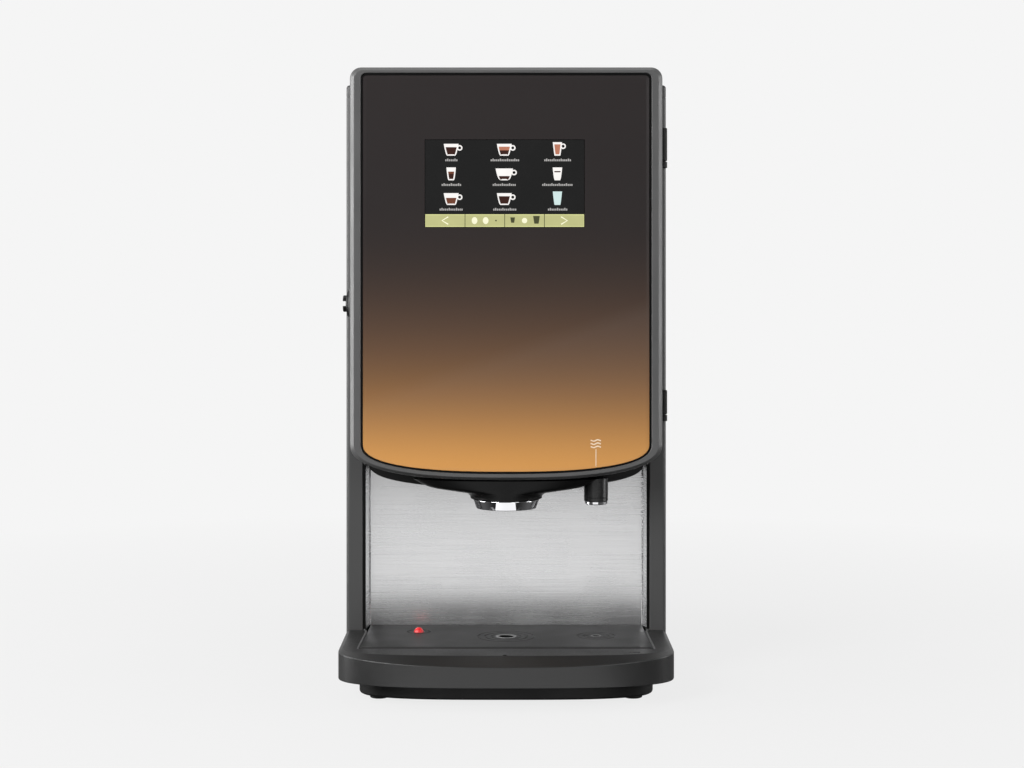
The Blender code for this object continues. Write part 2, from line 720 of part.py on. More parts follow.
def lock_barrel():
    """Cam lock on the side of the door: rosette, slotted barrel and the cam inside."""
    y, z = LOCK_Y, LOCK_Z
    lock = rod("lock_barrel", (-154.9, y, z), (-157.0, y, z), 13.2, segments=LARGE_ROUND)
    head = rod("lock_head", (-156.0, y, z), (LOCK_OUT_X, y, z), 8.2, CUTTERS, segments=MID_ROUND)
    body = rod("lock_body", (-155.5, y, z), (-149.0, y, z), 9.0, CUTTERS, segments=MID_ROUND)
    cam = box("lock_cam", (-149.6, -147.6), (y - 5, y + 5), (z - 32, z + 6.5), CUTTERS)
    nut = rod("lock_nut", (-148.0, y, z), (-145.4, y, z), 4.5, CUTTERS, segments=6)
    depth = (LOCK_OUT_X - 1, LOCK_OUT_X + 3.0)
    slot = box("key_slot", depth, (y - 12, y + 12), (z - 2.4, z + 2.4), CUTTERS)
    join(lock, head, body, cam, nut)
    cut(lock, slot)
    return finish(lock, material("lock_barrel_metal", (0.03, 0.03, 0.03), 0.3, 0.6))


def hinges():
    """Fixed hinge halves: a barrel at the cabinet corner, its pin and the leaf behind the pillar."""
    for name, (z0, z1) in HINGE_SPANS.items():
        axis = (HINGE_X, HINGE_Y)
        barrel = rod(name, (*axis, z0), (*axis, z1), HINGE_R, segments=LARGE_ROUND)
        pin = rod(name + "_pin", (*axis, z0 - 6.6), (*axis, z0 + 3), 1.5, CUTTERS, segments=TINY_ROUND)
        leaf = box(name + "_leaf", (145.2, 156.4), (-93.1, -92.0), (z0 + 0.4, z1 + 6), CUTTERS)
        neck = box(name + "_neck", (154.4, 157.4), (-94.5, -91.6), (z0 + 1, z1 - 1), CUTTERS)
        join(barrel, pin, neck, leaf)
        finish(barrel, material(name + "_metal", (0.015, 0.015, 0.015), 0.45, 0.3))


# ---------------------------------------------------------------- canisters, dosing and mixing

def canister_section(wall, top):
    """Canister outline across the machine: straight sides, a sloping hopper and a round trough."""
    half, trough = CANISTER_HALF - wall, 19.0 - wall
    right = [(trough * sin(radians(a)), AUGER_Z - trough * cos(radians(a))) for a in (0, 30, 60, 80)]
    right += [(half, 455.0), (half, top)]
    return mirrored(right)


def canister_bodies():
    y0, y1 = CANISTER_Y
    outer = canister_section(0.0, CANISTER_TOP_Z)
    body = loft("canister_proto", [[(x, y, z) for x, z in outer] for y in (y0, y1)])
    collar = rod("collar", (0, y0 - 14, AUGER_Z), (0, y0 + 1, AUGER_Z), 17.5, CUTTERS, segments=MID_ROUND)
    join(body, collar)
    inner = canister_section(2.0, CANISTER_TOP_Z + 5)
    hopper = loft("hopper", [[(x, y, z) for x, z in inner] for y in (y0 + 2, y1 - 2)], CUTTERS)
    mouth = rod("mouth", (0, y0 - 16, AUGER_Z), (0, y0 + 4, AUGER_Z), 15.4, CUTTERS, segments=MID_ROUND)
    rear = (0, y1 - 4, AUGER_Z), (0, y1 + 2, AUGER_Z)
    shaft = rod("shaft_hole", *rear, 4.6, CUTTERS, segments=SMALL_ROUND)
    cut(body, hopper, mouth, shaft)
    mat = material("canister_body_plastic", CLEAR_PLASTIC, 0.15, alpha=0.45)
    return one_per_lane(body, "canister_body", mat)


def canister_lids():
    y0, y1 = CANISTER_Y
    top = CANISTER_TOP_Z

    def ring(extra, z):
        outline = rounded_rectangle(CANISTER_HALF + extra, y0 - extra, y1 + extra, 3.0, 1)
        return [(x, y, z) for x, y in outline]

    plug = [ring(-2.6, top - 5), ring(-2.6, top + GAP)]
    cover = [ring(0.8, top + GAP), ring(0.8, top + 2.8), ring(0, top + 3.6)]
    lid = loft("lid_proto", plug + cover)
    grip = box("lid_grip", (-22, 22), (40, 50), (top + 2, top + 9), CUTTERS)
    join(lid, grip)
    return one_per_lane(lid, "canister_lid", material("canister_lid_plastic", BLACK_PLASTIC, 0.4))


def augers():
    """Dosing screws: a shaft with a helical blade; the drive socket is at the rear."""
    shaft, blade, socket = 4.2, 14.2, 2.8
    turns, steps = 4, 28
    first, last = -51.0, 134.0
    around = [16.0 + 65.6 * k for k in range(6)]

    def ring(y, lead, hub, tip):
        points = [(tip, -8.0), (tip, 8.0)] + [(hub, a) for a in around]
        turned_by = [(r, radians(lead + a)) for r, a in points]
        return [(r * cos(a), y, AUGER_Z + r * sin(a)) for r, a in turned_by]

    rings = [ring(first - 3, 0, shaft, shaft), ring(first - 1, 0, shaft, shaft)]
    for i in range(steps + 1):
        rings.append(ring(first + (last - first) * i / steps, 360 * turns * i / steps, shaft, blade))
    rings += [ring(y, 0, shaft, shaft) for y in (last + 1, 146.5)]
    rings += [ring(y, 0, socket, socket) for y in (146.5, last + 2)]
    screw = loft("auger_proto", rings)
    triangulate(screw)
    return one_per_lane(screw, "auger", material("auger_plastic", MILKY_PLASTIC, 0.4))


def canister_outlets():
    """Elbows that turn on the canister collars and drop powder into the mixers."""
    y = -64.0
    elbow = rod("outlet_proto", (0, -78, AUGER_Z), (0, -43.6, AUGER_Z), 20.4, segments=MID_ROUND)
    chute = rod("chute", (0, y, 388), (0, y, AUGER_Z), 12.0, CUTTERS, segments=LARGE_ROUND)
    bore = rod("elbow_bore", (0, -75.6, AUGER_Z), (0, -42, AUGER_Z), 18.1, CUTTERS, segments=MID_ROUND)
    drop = rod("chute_bore", (0, y, 386), (0, y, AUGER_Z), 9.8, CUTTERS, segments=LARGE_ROUND)
    join(elbow, chute)
    cut(elbow, bore, drop)
    mat = material("canister_outlet_plastic", (0.55, 0.05, 0.03), 0.4)
    return one_per_lane(elbow, "canister_outlet", mat)


def canister_motors():
    """Gear motors behind the back wall, each with a drive pin into its auger."""
    y = BACK_WALL_Y + SHEET + GAP
    motor = box("motor_proto", (-23, 23), (y, y + 24), (402, 446))
    can = rod("motor_can", (0, y + 20, 424), (0, y + 52, 424), 17.0, CUTTERS, segments=SMALL_ROUND)
    boss = rod("motor_boss", (0, y - 1.0, AUGER_Z), (0, y + 5, AUGER_Z), 7.0, CUTTERS, segments=SMALL_ROUND)
    pin = rod("motor_pin", (0, 138, AUGER_Z), (0, y + 5, AUGER_Z), 2.1, CUTTERS, segments=TINY_ROUND)
    join(motor, can, boss, pin)
    return one_per_lane(motor, "canister_motor", material("canister_motor_metal", ZINC, 0.4, 0.9))


def mixer_bowls():
    """Whipping bowls: a funnel above a flat round whipper chamber with a drink nozzle below."""
    y, z = BOWL_Y, WHIPPER_Z
    bowl = rod("bowl_proto", (0, y, z + 14), (0, y, 384), 16.0, end_radius=34.0, segments=LARGE_ROUND)
    chamber = rod("chamber", (0, y - 20, z), (0, y + 20, z), 21.0, CUTTERS, segments=MID_ROUND)
    nozzle = rod("nozzle", (0, y - 10, 290), (0, y - 10, z), 6.4, CUTTERS, segments=SMALL_ROUND)
    funnel = rod("funnel", (0, y, z + 8), (0, y, 386), 12.0, CUTTERS, 32.4, segments=LARGE_ROUND)
    inside = rod("chamber_inside", (0, y - 17.6, z), (0, y + 17.6, z), 18.6, CUTTERS, segments=MID_ROUND)
    bore = rod("nozzle_bore", (0, y - 10, 288), (0, y - 10, z), 4.2, CUTTERS, segments=SMALL_ROUND)
    shaft = rod("whipper_hole", (0, y + 15, z), (0, y + 24, z), 3.6, CUTTERS, segments=SMALL_ROUND)
    join(bowl, chamber, nozzle)
    cut(bowl, funnel, inside, bore, shaft)
    return one_per_lane(bowl, "mixer_bowl", material("mixer_bowl_plastic", MILKY_PLASTIC, 0.3))


def impellers():
    """Whippers: two crossed vanes on a shaft with a drive socket at the rear."""
    y, z = BOWL_Y, WHIPPER_Z
    wheel = rod("impeller_proto", (0, y - 12, z), (0, -24, z), 3.2, segments=SMALL_ROUND)
    flat = box("vane_flat", (-14, 14), (y - 11, y + 8), (z - 1.0, z + 1.0), CUTTERS)
    upright = box("vane_upright", (-1.0, 1.0), (y - 10.5, y + 7.5), (z - 14, z + 14), CUTTERS)
    socket = rod("whipper_socket", (0, -33, z), (0, -22, z), 1.9, CUTTERS, segments=TINY_ROUND)
    join(wheel, flat, upright)
    cut(wheel, socket)
    return one_per_lane(wheel, "impeller", material("impeller_plastic", MILKY_PLASTIC, 0.4))


def mixer_motors():
    y, z = PARTITION_Y + SHEET + GAP, WHIPPER_Z
    motor = rod("mixer_motor_proto", (0, y, z), (0, y + 52, z), 17.5, segments=MID_ROUND)
    boss = rod("mixer_boss", (0, y - 1, z), (0, y + 4, z), 5.0, CUTTERS, segments=SMALL_ROUND)
    pin = rod("mixer_pin", (0, -30, z), (0, y + 4, z), 1.6, CUTTERS, segments=TINY_ROUND)
    join(motor, boss, pin)
    return one_per_lane(motor, "mixer_motor", material("mixer_motor_metal", ZINC, 0.35, 0.9))


def drink_hoses():
    """Hoses from the mixer nozzles to the bores on top of the serving head."""
    mat = material("drink_hose_silicone", (0.75, 0.73, 0.68), 0.5)
    steps = 8
    for lane, x in LANES.items():
        end_x = x * 20.0 / LANE_PITCH
        path = [(x, -70.0, 289.6)]
        for i in range(steps + 1):
            t = i / steps
            ease = t * t * (3 - 2 * t)
            path.append((x + (end_x - x) * ease, -70.0 - 12.0 * ease, 284.0 - 40.0 * t))
        path += [(end_x, -82.0, 236.0), (end_x, -82.0, 222.0)]
        curve = bpy.data.curves.new(f"drink_hose_{lane}", "CURVE")
        curve.dimensions = "3D"
        curve.bevel_depth = 5.4 * MM
        curve.bevel_resolution = 2
        curve.use_fill_caps = True
        curve.materials.append(mat)
        spline = curve.splines.new("POLY")
        spline.points.add(len(path) - 1)
        for point, place in zip(spline.points, path):
            point.co = (*(Vector(place) * MM), 1.0)
        store(f"drink_hose_{lane}", curve, PARTS)


# ---------------------------------------------------------------- water, air and power

def boiler_tank():
    r, top = BOILER_R, BOILER_TOP_Z
    profile = [(r, top), (r, 9), (r - 3, 5.8), (0, 5.8), (0, 8), (r - 4, 8), (r - 2, 10), (r - 2, top)]
    tank = turned("boiler_tank", (BOILER_X, BOILER_Y), profile, steps=22)
    return finish(tank, material("boiler_tank_steel", STAINLESS, 0.35, 1.0))


def boiler_heater():
    """Boiler lid with the immersed heating loop and its two terminals."""
    x, y, top = BOILER_X, BOILER_Y, BOILER_TOP_Z + GAP
    lid = rod("boiler_heater", (x, y, top), (x, y, top + 5), BOILER_R + 2, segments=LARGE_ROUND)
    for side, leg_x in enumerate((x - 20, x + 20)):
        ends = (leg_x, y, 30), (leg_x, y, top + 14)
        join(lid, rod(f"heater_leg_{side}", *ends, 3.5, CUTTERS, segments=TINY_ROUND))
    foot = rod("heater_foot", (x - 22, y, 31), (x + 22, y, 31), 3.4, CUTTERS, segments=TINY_ROUND)
    join(lid, foot)
    return finish(lid, material("boiler_heater_steel", STAINLESS, 0.4, 1.0))


def inlet_valve():
    """Water inlet valve with its threaded connection through the rear panel."""
    x, z = VALVE_X, VALVE_Z
    valve = box("inlet_valve", (x - 17, x + 17), (196, 226), (z - 20, z + 26))
    stub = rod("valve_stub", (x, 220, z), (x, 247.5, z), 10.0, CUTTERS, segments=SMALL_ROUND)
    bore = rod("valve_bore", (x, 232, z), (x, 250, z), 6.5, CUTTERS, segments=LARGE_ROUND)
    coil = rod("valve_coil", (x, 211, z + 20), (x, 211, z + 44), 11.0, CUTTERS, segments=LARGE_ROUND)
    join(valve, stub, coil)
    cut(valve, bore)
    return finish(valve, material("inlet_valve_plastic", (0.55, 0.56, 0.58), 0.5))


def control_board():
    """Circuit board on standoffs at the right side panel, with its largest components."""
    board = box("control_board", (149.0, 150.8), (10, 140), (100, 200))
    posts = [
        box(f"standoff_{i}", (150.0, 158.1), (y - 3, y + 3), (z - 3, z + 3), CUTTERS)
        for i, (y, z) in enumerate(((16, 106), (16, 194), (134, 106), (134, 194)))
    ]
    blocks = [
        box("relay_block", (136.0, 149.5), (25, 55), (110, 150), CUTTERS),
        box("terminal_block", (141.0, 149.5), (70, 130), (108, 118), CUTTERS),
        box("processor_block", (146.0, 149.5), (80, 104), (150, 174), CUTTERS),
    ]
    join(board, *posts, *blocks)
    return finish(board, material("control_board_laminate", (0.02, 0.12, 0.05), 0.5))


def power_inlet():
    """Mains inlet with three pins and the bay for the power switch above it."""
    x, z = INLET_X, INLET_Z
    outer = (BODY_REAR_Y + GAP, 247.5)
    inlet = box("power_inlet", (x - 25, x + 25), outer, (z - 32, z + 32))
    shell = box("inlet_shell", (x - 22, x + 22), (224, 246.5), (z - 29, z + 29), CUTTERS)
    socket = box("inlet_socket", (x - 12, x + 12), (230, 250), (z - 24, z - 6), CUTTERS)
    bay = box("switch_bay", (x - 11.5, x + 11.5), (232, 250), (ROCKER_Z - 14.5, ROCKER_Z + 12), CUTTERS)
    join(inlet, shell)
    cut(inlet, socket, bay)
    for i, (dx, dz) in enumerate(((-7, -17), (7, -17), (0, -12))):
        width, height = (x + dx - 1, x + dx + 1), (z + dz - 2, z + dz + 2)
        join(inlet, box(f"inlet_pin_{i}", width, (228, 242), height, CUTTERS))
    return finish(inlet, material("power_inlet_plastic", BLACK_PLASTIC, 0.5))


def power_switch():
    """Rocker with a shallow V face, turning on its middle line."""
    x, y, z = INLET_X, ROCKER_Y, ROCKER_Z - 1.2
    half = 10.0
    section = [(y - 3.5, z - 5), (y - 3.5, z + 5), (y + 0.5, z + 11), (y + 3.6, z + 11), (y + 1.8, z)]
    section += [(y + 3.6, z - 11), (y + 0.5, z - 11)]
    rocker = loft("power_switch", [[(px, py, pz) for py, pz in section] for px in (x - half, x + half)])
    return finish(rocker, material("power_switch_plastic", (0.5, 0.02, 0.02), 0.35))


def fan_housing():
    x, z = FAN_X, FAN_Z
    rear = BODY_REAR_Y - SHEET - GAP
    housing = box("fan_housing", (x - 40, x + 40), (rear - 25, rear), (z - 40, z + 40))
    duct = rod("fan_duct", (x, rear - 30, z), (x, rear + 4, z), 37.5, CUTTERS, segments=24)
    bars = [
        box("fan_bar_level", (x - 39, x + 39), (rear - 3.1, rear - 0.2), (z - 3, z + 3), CUTTERS),
        box("fan_bar_upright", (x - 3, x + 3), (rear - 3.0, rear - 0.3), (z - 39, z + 39), CUTTERS),
    ]
    boss = rod("fan_boss", (x, rear - 3.3, z), (x, rear - 0.4, z), 13.0, CUTTERS, segments=SMALL_ROUND)
    cut(housing, duct)
    join(housing, *bars, boss)
    return finish(housing, material("fan_housing_plastic", BLACK_PLASTIC, 0.5))


def fan_rotor():
    """Axial rotor: a hub with seven swept blades."""
    rear = BODY_REAR_Y - SHEET - GAP
    blades, hub, tip = 7, 14.0, 35.5
    outline = []
    for k in range(blades):
        a = 2 * pi * k / blades
        for radius, offset in ((hub, 0.0), (tip, 0.30), (tip, 0.62), (hub, 0.42)):
            outline.append((FAN_X + radius * cos(a + offset), FAN_Z + radius * sin(a + offset)))
    rotor = loft("fan_rotor", [[(x, y, z) for x, z in outline] for y in (rear - 22, rear - 6)])
    return finish(rotor, material("fan_rotor_plastic", BLACK_PLASTIC, 0.4))


# ---------------------------------------------------------------- assembly

def build():
    side_panel(-1)
    side_panel(1)
    top_cover()
    rear_panel()
    base_pan()
    feet()
    splash_plate()
    inner_frame()
    dispense_head()
    spout_ring()
    hot_water_outlet()
    hot_water_ring()
    hinges()
    boiler_tank()
    boiler_heater()
    inlet_valve()
    control_board()
    power_inlet()
    fan_housing()
    canister_motors()
    mixer_motors()
    mixer_bowls()
    drink_hoses()

    lock = lock_barrel()
    lock_axis = pivot("lock_axis", (-150, LOCK_Y, LOCK_Z), lock)
    fascia = (door_frame(), front_panel(), touch_display(), door_liner())
    pivot("door_axis", (HINGE_X, HINGE_Y, 400), *fascia, lock_axis)

    pivot("tray_runner", (0, -170, TRAY_TOP_Z), drip_tray(), drip_grille(), tray_float())

    bodies, lids, screws, elbows = canister_bodies(), canister_lids(), augers(), canister_outlets()
    for lane, x in LANES.items():
        pivot(f"auger_axis_{lane}", (x, 0, AUGER_Z), bodies[lane], lids[lane], screws[lane], elbows[lane])
    for lane, wheel in impellers().items():
        pivot(f"whipper_axis_{lane}", (LANES[lane], BOWL_Y, WHIPPER_Z), wheel)
    pivot("fan_axis", (FAN_X, 230, FAN_Z), fan_rotor())
    pivot("rocker_axis", (INLET_X, ROCKER_Y, ROCKER_Z - 1.2), power_switch())


build()
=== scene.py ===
"""Looks of the tabletop hot drinks vending machine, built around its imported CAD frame.

Lengths are written in millimetres and become metres when a mesh is made.
The front faces -Y, +X is the customer's right and z = 0 is the underside of the feet.
"""

from math import cos, hypot, pi, radians, sin

import bmesh
import bpy
from mathutils import Matrix, Vector


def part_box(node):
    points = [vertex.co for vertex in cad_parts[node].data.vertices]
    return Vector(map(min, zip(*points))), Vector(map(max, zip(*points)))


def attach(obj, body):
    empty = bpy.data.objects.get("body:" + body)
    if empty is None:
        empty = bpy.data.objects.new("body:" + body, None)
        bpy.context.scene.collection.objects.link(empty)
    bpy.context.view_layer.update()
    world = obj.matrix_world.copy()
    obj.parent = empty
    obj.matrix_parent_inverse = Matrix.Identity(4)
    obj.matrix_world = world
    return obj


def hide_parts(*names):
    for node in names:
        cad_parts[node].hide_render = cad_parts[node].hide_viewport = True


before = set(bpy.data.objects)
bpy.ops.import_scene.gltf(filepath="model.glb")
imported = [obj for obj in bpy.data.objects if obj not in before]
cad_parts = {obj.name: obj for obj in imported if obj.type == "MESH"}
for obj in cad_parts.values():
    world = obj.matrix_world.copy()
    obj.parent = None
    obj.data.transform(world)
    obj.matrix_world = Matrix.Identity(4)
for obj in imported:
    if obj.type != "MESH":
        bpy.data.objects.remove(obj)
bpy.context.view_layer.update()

MM = 0.001
ROUND = 64
SMALL_ROUND = 32
LANES = {1: -102.0, 2: 0.0, 3: 102.0}


def extent(node):
    """Lowest and highest corner of a CAD node, in millimetres."""
    low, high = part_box(node)
    return low / MM, high / MM


# ---- sizes taken from the frame

door_low, door_high = extent("door_frame")
panel_low, panel_high = extent("front_panel")
glass_low, glass_high = extent("touch_display")
cover_low, cover_high = extent("top_cover")
side_low, side_high = extent("right_side_panel")
rear_low, rear_high = extent("rear_panel")
base_low, base_high = extent("base_pan")
plate_low, plate_high = extent("splash_plate")
tray_low, tray_high = extent("drip_tray")
grille_low, grille_high = extent("drip_grille")
float_low, float_high = extent("tray_float")
head_high = extent("dispense_head")[1]
spout_low, spout_high = extent("spout_ring")
water_ring_low, water_ring_high = extent("hot_water_ring")

HALF_WIDTH = side_high.x
BODY_FRONT = side_low.y
BODY_REAR = rear_high.y
BODY_TOP = cover_high.z
DOOR_FRONT, DOOR_BACK = door_low.y, -96.5
DOOR_TOP, DOOR_BOTTOM = door_high.z, door_low.z
DOOR_HALF_BACK = -door_low.x
DOOR_HALF_FRONT = DOOR_HALF_BACK - 3.7
DOOR_SHOULDER = 240.0
PANEL_HALF = panel_high.x
PANEL_TOP, PANEL_BOTTOM = panel_high.z, panel_low.z
PANEL_FRONT = panel_low.y
GLASS_FRONT = glass_low.y
DISPLAY_X = (glass_low.x + glass_high.x) / 2
DISPLAY_Z = (glass_low.z + glass_high.z) / 2
DISPLAY_HALF_X = (glass_high.x - glass_low.x) / 2 - 8.0
DISPLAY_HALF_Z = (glass_high.z - glass_low.z) / 2 - 8.0
TRAY_HALF = tray_high.x
TRAY_FRONT, TRAY_REAR = tray_low.y, tray_high.y
TRAY_TOP, TRAY_BOTTOM = tray_high.z, tray_low.z
TRAY_SHOULDER = -190.0
TRAY_DIP = 7.4
PLATE_FRONT, PLATE_REAR = grille_low.y, grille_high.y
SPOUT_Y = (spout_low.y + spout_high.y) / 2
SPOUT_R = spout_high.x
WATER_X = (water_ring_low.x + water_ring_high.x) / 2
WATER_Y = (water_ring_low.y + water_ring_high.y) / 2
FLOAT_X = (float_low.x + float_high.x) / 2
FLOAT_Y = -104.0
HINGES = {"upper_hinge": (517.0, 550.0), "lower_hinge": (264.0, 288.0)}
HINGE_X, HINGE_Y = 157.0, -95.75
LOCK_Y, LOCK_Z = -118.0, 374.8
AUGER_Z = 418.0
CANISTER_FRONT, CANISTER_BACK = -42.0, 142.0
CANISTER_HALF = 48.0
CANISTER_TOP = extent("canister_lid_2")[0].z + 5.0
BOWL_Y, WHIPPER_Z = -60.0, 325.0
FAN_X, FAN_Z = 75.0, 300.0
INLET_X, INLET_Z = -95.0, 75.0
SMILE, TRAY_BOW = 2.5, 2.9


# ---- materials

def linear(red, green, blue):
    """A colour read off a screen, 0 to 255, as linear light."""
    return tuple(((c / 255 + 0.055) / 1.055) ** 2.4 if c > 10 else c / 3294.6 for c in (red, green, blue))


def grey(value):
    return linear(value, value, value)


class Nodes:
    """The node tree of one material or world, with short ways to add what every surface here needs."""

    def __init__(self, name, group=bpy.data.materials, shader="Principled BSDF", space="Object"):
        self.mat = group.new(name)
        self.mat.use_nodes = True
        self.tree = self.mat.node_tree
        self.shader = self.tree.nodes[shader]
        self.place = self.add("ShaderNodeTexCoord").outputs[space]

    def add(self, kind, inputs=(), **settings):
        """A new node with these settings, and these values fed to its first inputs in turn."""
        node = self.tree.nodes.new(kind)
        for key, value in settings.items():
            setattr(node, key, value)
        for value, socket in zip(inputs, node.inputs):
            self.feed(value, socket)
        return node

    def feed(self, value, socket):
        """Sets a socket to a number or colour, or links it to another node's output."""
        if isinstance(value, bpy.types.NodeSocket):
            self.tree.links.new(value, socket)
        elif isinstance(value, tuple) and len(value) == 3 and socket.type == "RGBA":
            socket.default_value = (*value, 1.0)
        else:
            socket.default_value = value

    def noise(self, size, stretch=(1, 1, 1), detail=4.0):
        """Noise whose features are about this size in millimetres, drawn out by the stretch."""
        mapping = self.add("ShaderNodeMapping", [self.place])
        mapping.inputs["Scale"].default_value = stretch
        node = self.add("ShaderNodeTexNoise", [mapping.outputs["Vector"]])
        node.inputs["Scale"].default_value = 1 / (size * MM)
        node.inputs["Detail"].default_value = detail
        return node.outputs["Fac"]

    def spread(self, value, low, high, start=0.3, end=0.7):
        """The value stretched from start..end to low..high."""
        return self.add("ShaderNodeMapRange", [value, start, end, low, high]).outputs["Result"]

    def maths(self, operation, *values):
        return self.add("ShaderNodeMath", values, operation=operation).outputs["Value"]

    def along(self, operation, a, b):
        return self.add("ShaderNodeVectorMath", [a, b], operation=operation)

    def mix(self, a, b, factor):
        node = self.add("ShaderNodeMix", data_type="RGBA")
        for key, value in (("Factor", factor), ("A", a), ("B", b)):
            self.feed(value, node.inputs[key])
        return node.outputs["Result"]

    def split(self):
        return self.add("ShaderNodeSeparateXYZ", [self.place]).outputs

    def set(self, **values):
        for key, value in values.items():
            self.feed(value, self.shader.inputs[key.replace("_", " ")])

    def bump(self, height, depth):
        """Relief of this depth in millimetres, on top of any relief already there."""
        node = self.add("ShaderNodeBump")
        node.inputs["Distance"].default_value = depth * MM
        self.feed(height, node.inputs["Height"])
        normal = self.shader.inputs["Normal"]
        if normal.is_linked:
            self.feed(normal.links[0].from_socket, node.inputs["Normal"])
        self.feed(node.outputs["Normal"], normal)

    def show(self, factor, first, second, output):
        """Shows a blend of two shaders."""
        blend = self.add("ShaderNodeMixShader", [factor, first, second])
        self.feed(blend.outputs["Shader"], self.tree.nodes[output].inputs["Surface"])


def brighter(colour, factor):
    return tuple(min(c * factor, 1.0) for c in colour)


def surface(name, colour, roughness, metallic=0.0, grain=0.8, depth=0.02, stretch=(1, 1, 1),
            mottle=0.08, spread=0.06, wear_and_highlight=0.25, shine=0.5):
    """A finish with mottled colour, uneven gloss, a fine relief, and edges painted lighter: partly rubbed
    wear, partly a painted highlight.
    """
    look = Nodes(name)
    broad = look.noise(55.0)
    fine = look.noise(grain, stretch, detail=2.0)
    tone = look.mix(brighter(colour, 1 - mottle), brighter(colour, 1 + mottle), look.spread(broad, 0, 1))
    tone = look.mix(tone, brighter(colour, 0.8), look.spread(fine, 0, mottle * 2, 0.5, 0.8))
    # Rounded edges painted lighter: partly rubbed wear, partly a painted highlight where edges catch the
    # light.
    if wear_and_highlight:
        rounded = look.add("ShaderNodeBevel", [0.8 * MM], samples=4).outputs["Normal"]
        flat = look.add("ShaderNodeNewGeometry").outputs["Normal"]
        turn = look.along("DOT_PRODUCT", rounded, flat).outputs["Value"]
        tone = look.mix(tone, brighter(colour, 2.2), look.spread(turn, wear_and_highlight, 0, 0.75, 0.97))
    gloss = look.maths("ADD", look.spread(broad, -spread, spread), look.spread(fine, -spread, spread))
    look.set(Base_Color=tone, Roughness=look.maths("ADD", gloss, roughness), Metallic=metallic)
    look.set(Specular_IOR_Level=shine)
    look.bump(fine, depth)
    return look


def glowing(name, colour, strength=1.0):
    """A lit part of the display, with the faint unevenness of its backlight."""
    look = Nodes(name)
    glow = look.mix(brighter(colour, 0.94), brighter(colour, 1.04), look.spread(look.noise(18.0), 0, 1))
    look.set(Base_Color=brighter(colour, 0.05), Emission_Color=glow, Roughness=0.16)
    look.set(Emission_Strength=strength)
    look.bump(look.noise(3.0), 0.003)
    return look.mat


CARAMEL = linear(230, 165, 90)
COCOA = linear(105, 82, 68)
CHARCOAL = linear(52, 48, 48)
CARAMEL_CURVE = 1.6
COCOA_CURVE = 3.4
PRINT_RATE = 18.0


def panel_print():
    """Gloss sheet printed charcoal, turning through brown to caramel towards the bottom, with a faint painted
    reflection on one side of a diagonal line.
    """
    look = Nodes("panel_print")
    place = look.split()
    height = look.spread(place["Z"], 0, 1, PANEL_BOTTOM * MM, PANEL_TOP * MM)
    colour = CHARCOAL
    for tone, curve in ((COCOA, COCOA_CURVE), (CARAMEL, CARAMEL_CURVE)):
        falloff = look.maths("MULTIPLY", look.maths("POWER", height, curve), -PRINT_RATE)
        colour = look.mix(colour, tone, look.maths("EXPONENT", falloff))
    ink = look.add("ShaderNodeVectorMath", operation="SCALE")
    look.feed(colour, ink.inputs[0])
    look.feed(look.spread(look.noise(0.5), 0.89, 0.92), ink.inputs["Scale"])
    # Painted reflection: a little light grey mixed into the print below a diagonal line across the panel.
    line = look.maths("SUBTRACT", place["Z"], look.maths("MULTIPLY_ADD", place["X"], 0.34, 0.0))
    painted_reflection = look.spread(line, 0.02, 0.0, 0.318, 0.334)
    tone = look.mix(ink.outputs["Vector"], grey(200), painted_reflection)
    look.set(Base_Color=tone, Roughness=look.spread(look.noise(30.0), 0.14, 0.2), Specular_IOR_Level=0.22)
    look.bump(look.noise(14.0, detail=1.0), 0.01)
    return look.mat


def brushed_steel(name, along, colour, roughness=0.3):
    """Stainless sheet with faint brush strokes drawn out along the named axes."""
    stretch = tuple(0.012 if axis in along else 1.0 for axis in "XYZ")
    look = surface(name, colour, roughness, 1.0, 0.9, 0.0012, stretch, 0.025, 0.03, wear_and_highlight=0.0)
    strokes = look.noise(2.4, stretch, detail=6.0)
    tone = look.shader.inputs["Base Color"].links[0].from_socket
    look.set(Base_Color=look.mix(tone, brighter(colour, 0.9), look.spread(strokes, 0, 0.35)))
    return look.mat


def clear_plastic(name, colour, alpha):
    look = surface(name, colour, 0.14, grain=6.0, depth=0.02, wear_and_highlight=0.0)
    look.set(Alpha=look.spread(look.noise(40.0), alpha - 0.06, alpha + 0.06))
    return look.mat


def powder(name, colour):
    look = surface(name, colour, 0.9, grain=1.6, depth=0.5, mottle=0.25, wear_and_highlight=0.0)
    look.bump(look.noise(9.0), 1.5)
    return look.mat


def zinc(name):
    """Galvanised sheet with its crystal flakes."""
    look = surface(name, (0.42, 0.43, 0.44), 0.38, 0.9, 0.7, 0.006, wear_and_highlight=0.2)
    flakes = look.add("ShaderNodeTexVoronoi", [look.place])
    flakes.inputs["Scale"].default_value = 1 / (9 * MM)
    tone = look.shader.inputs["Base Color"].links[0].from_socket
    shade = look.spread(flakes.outputs["Color"], 0, 0.35, 0, 1)
    look.set(Base_Color=look.mix(tone, (0.27, 0.28, 0.29), shade))
    return look.mat


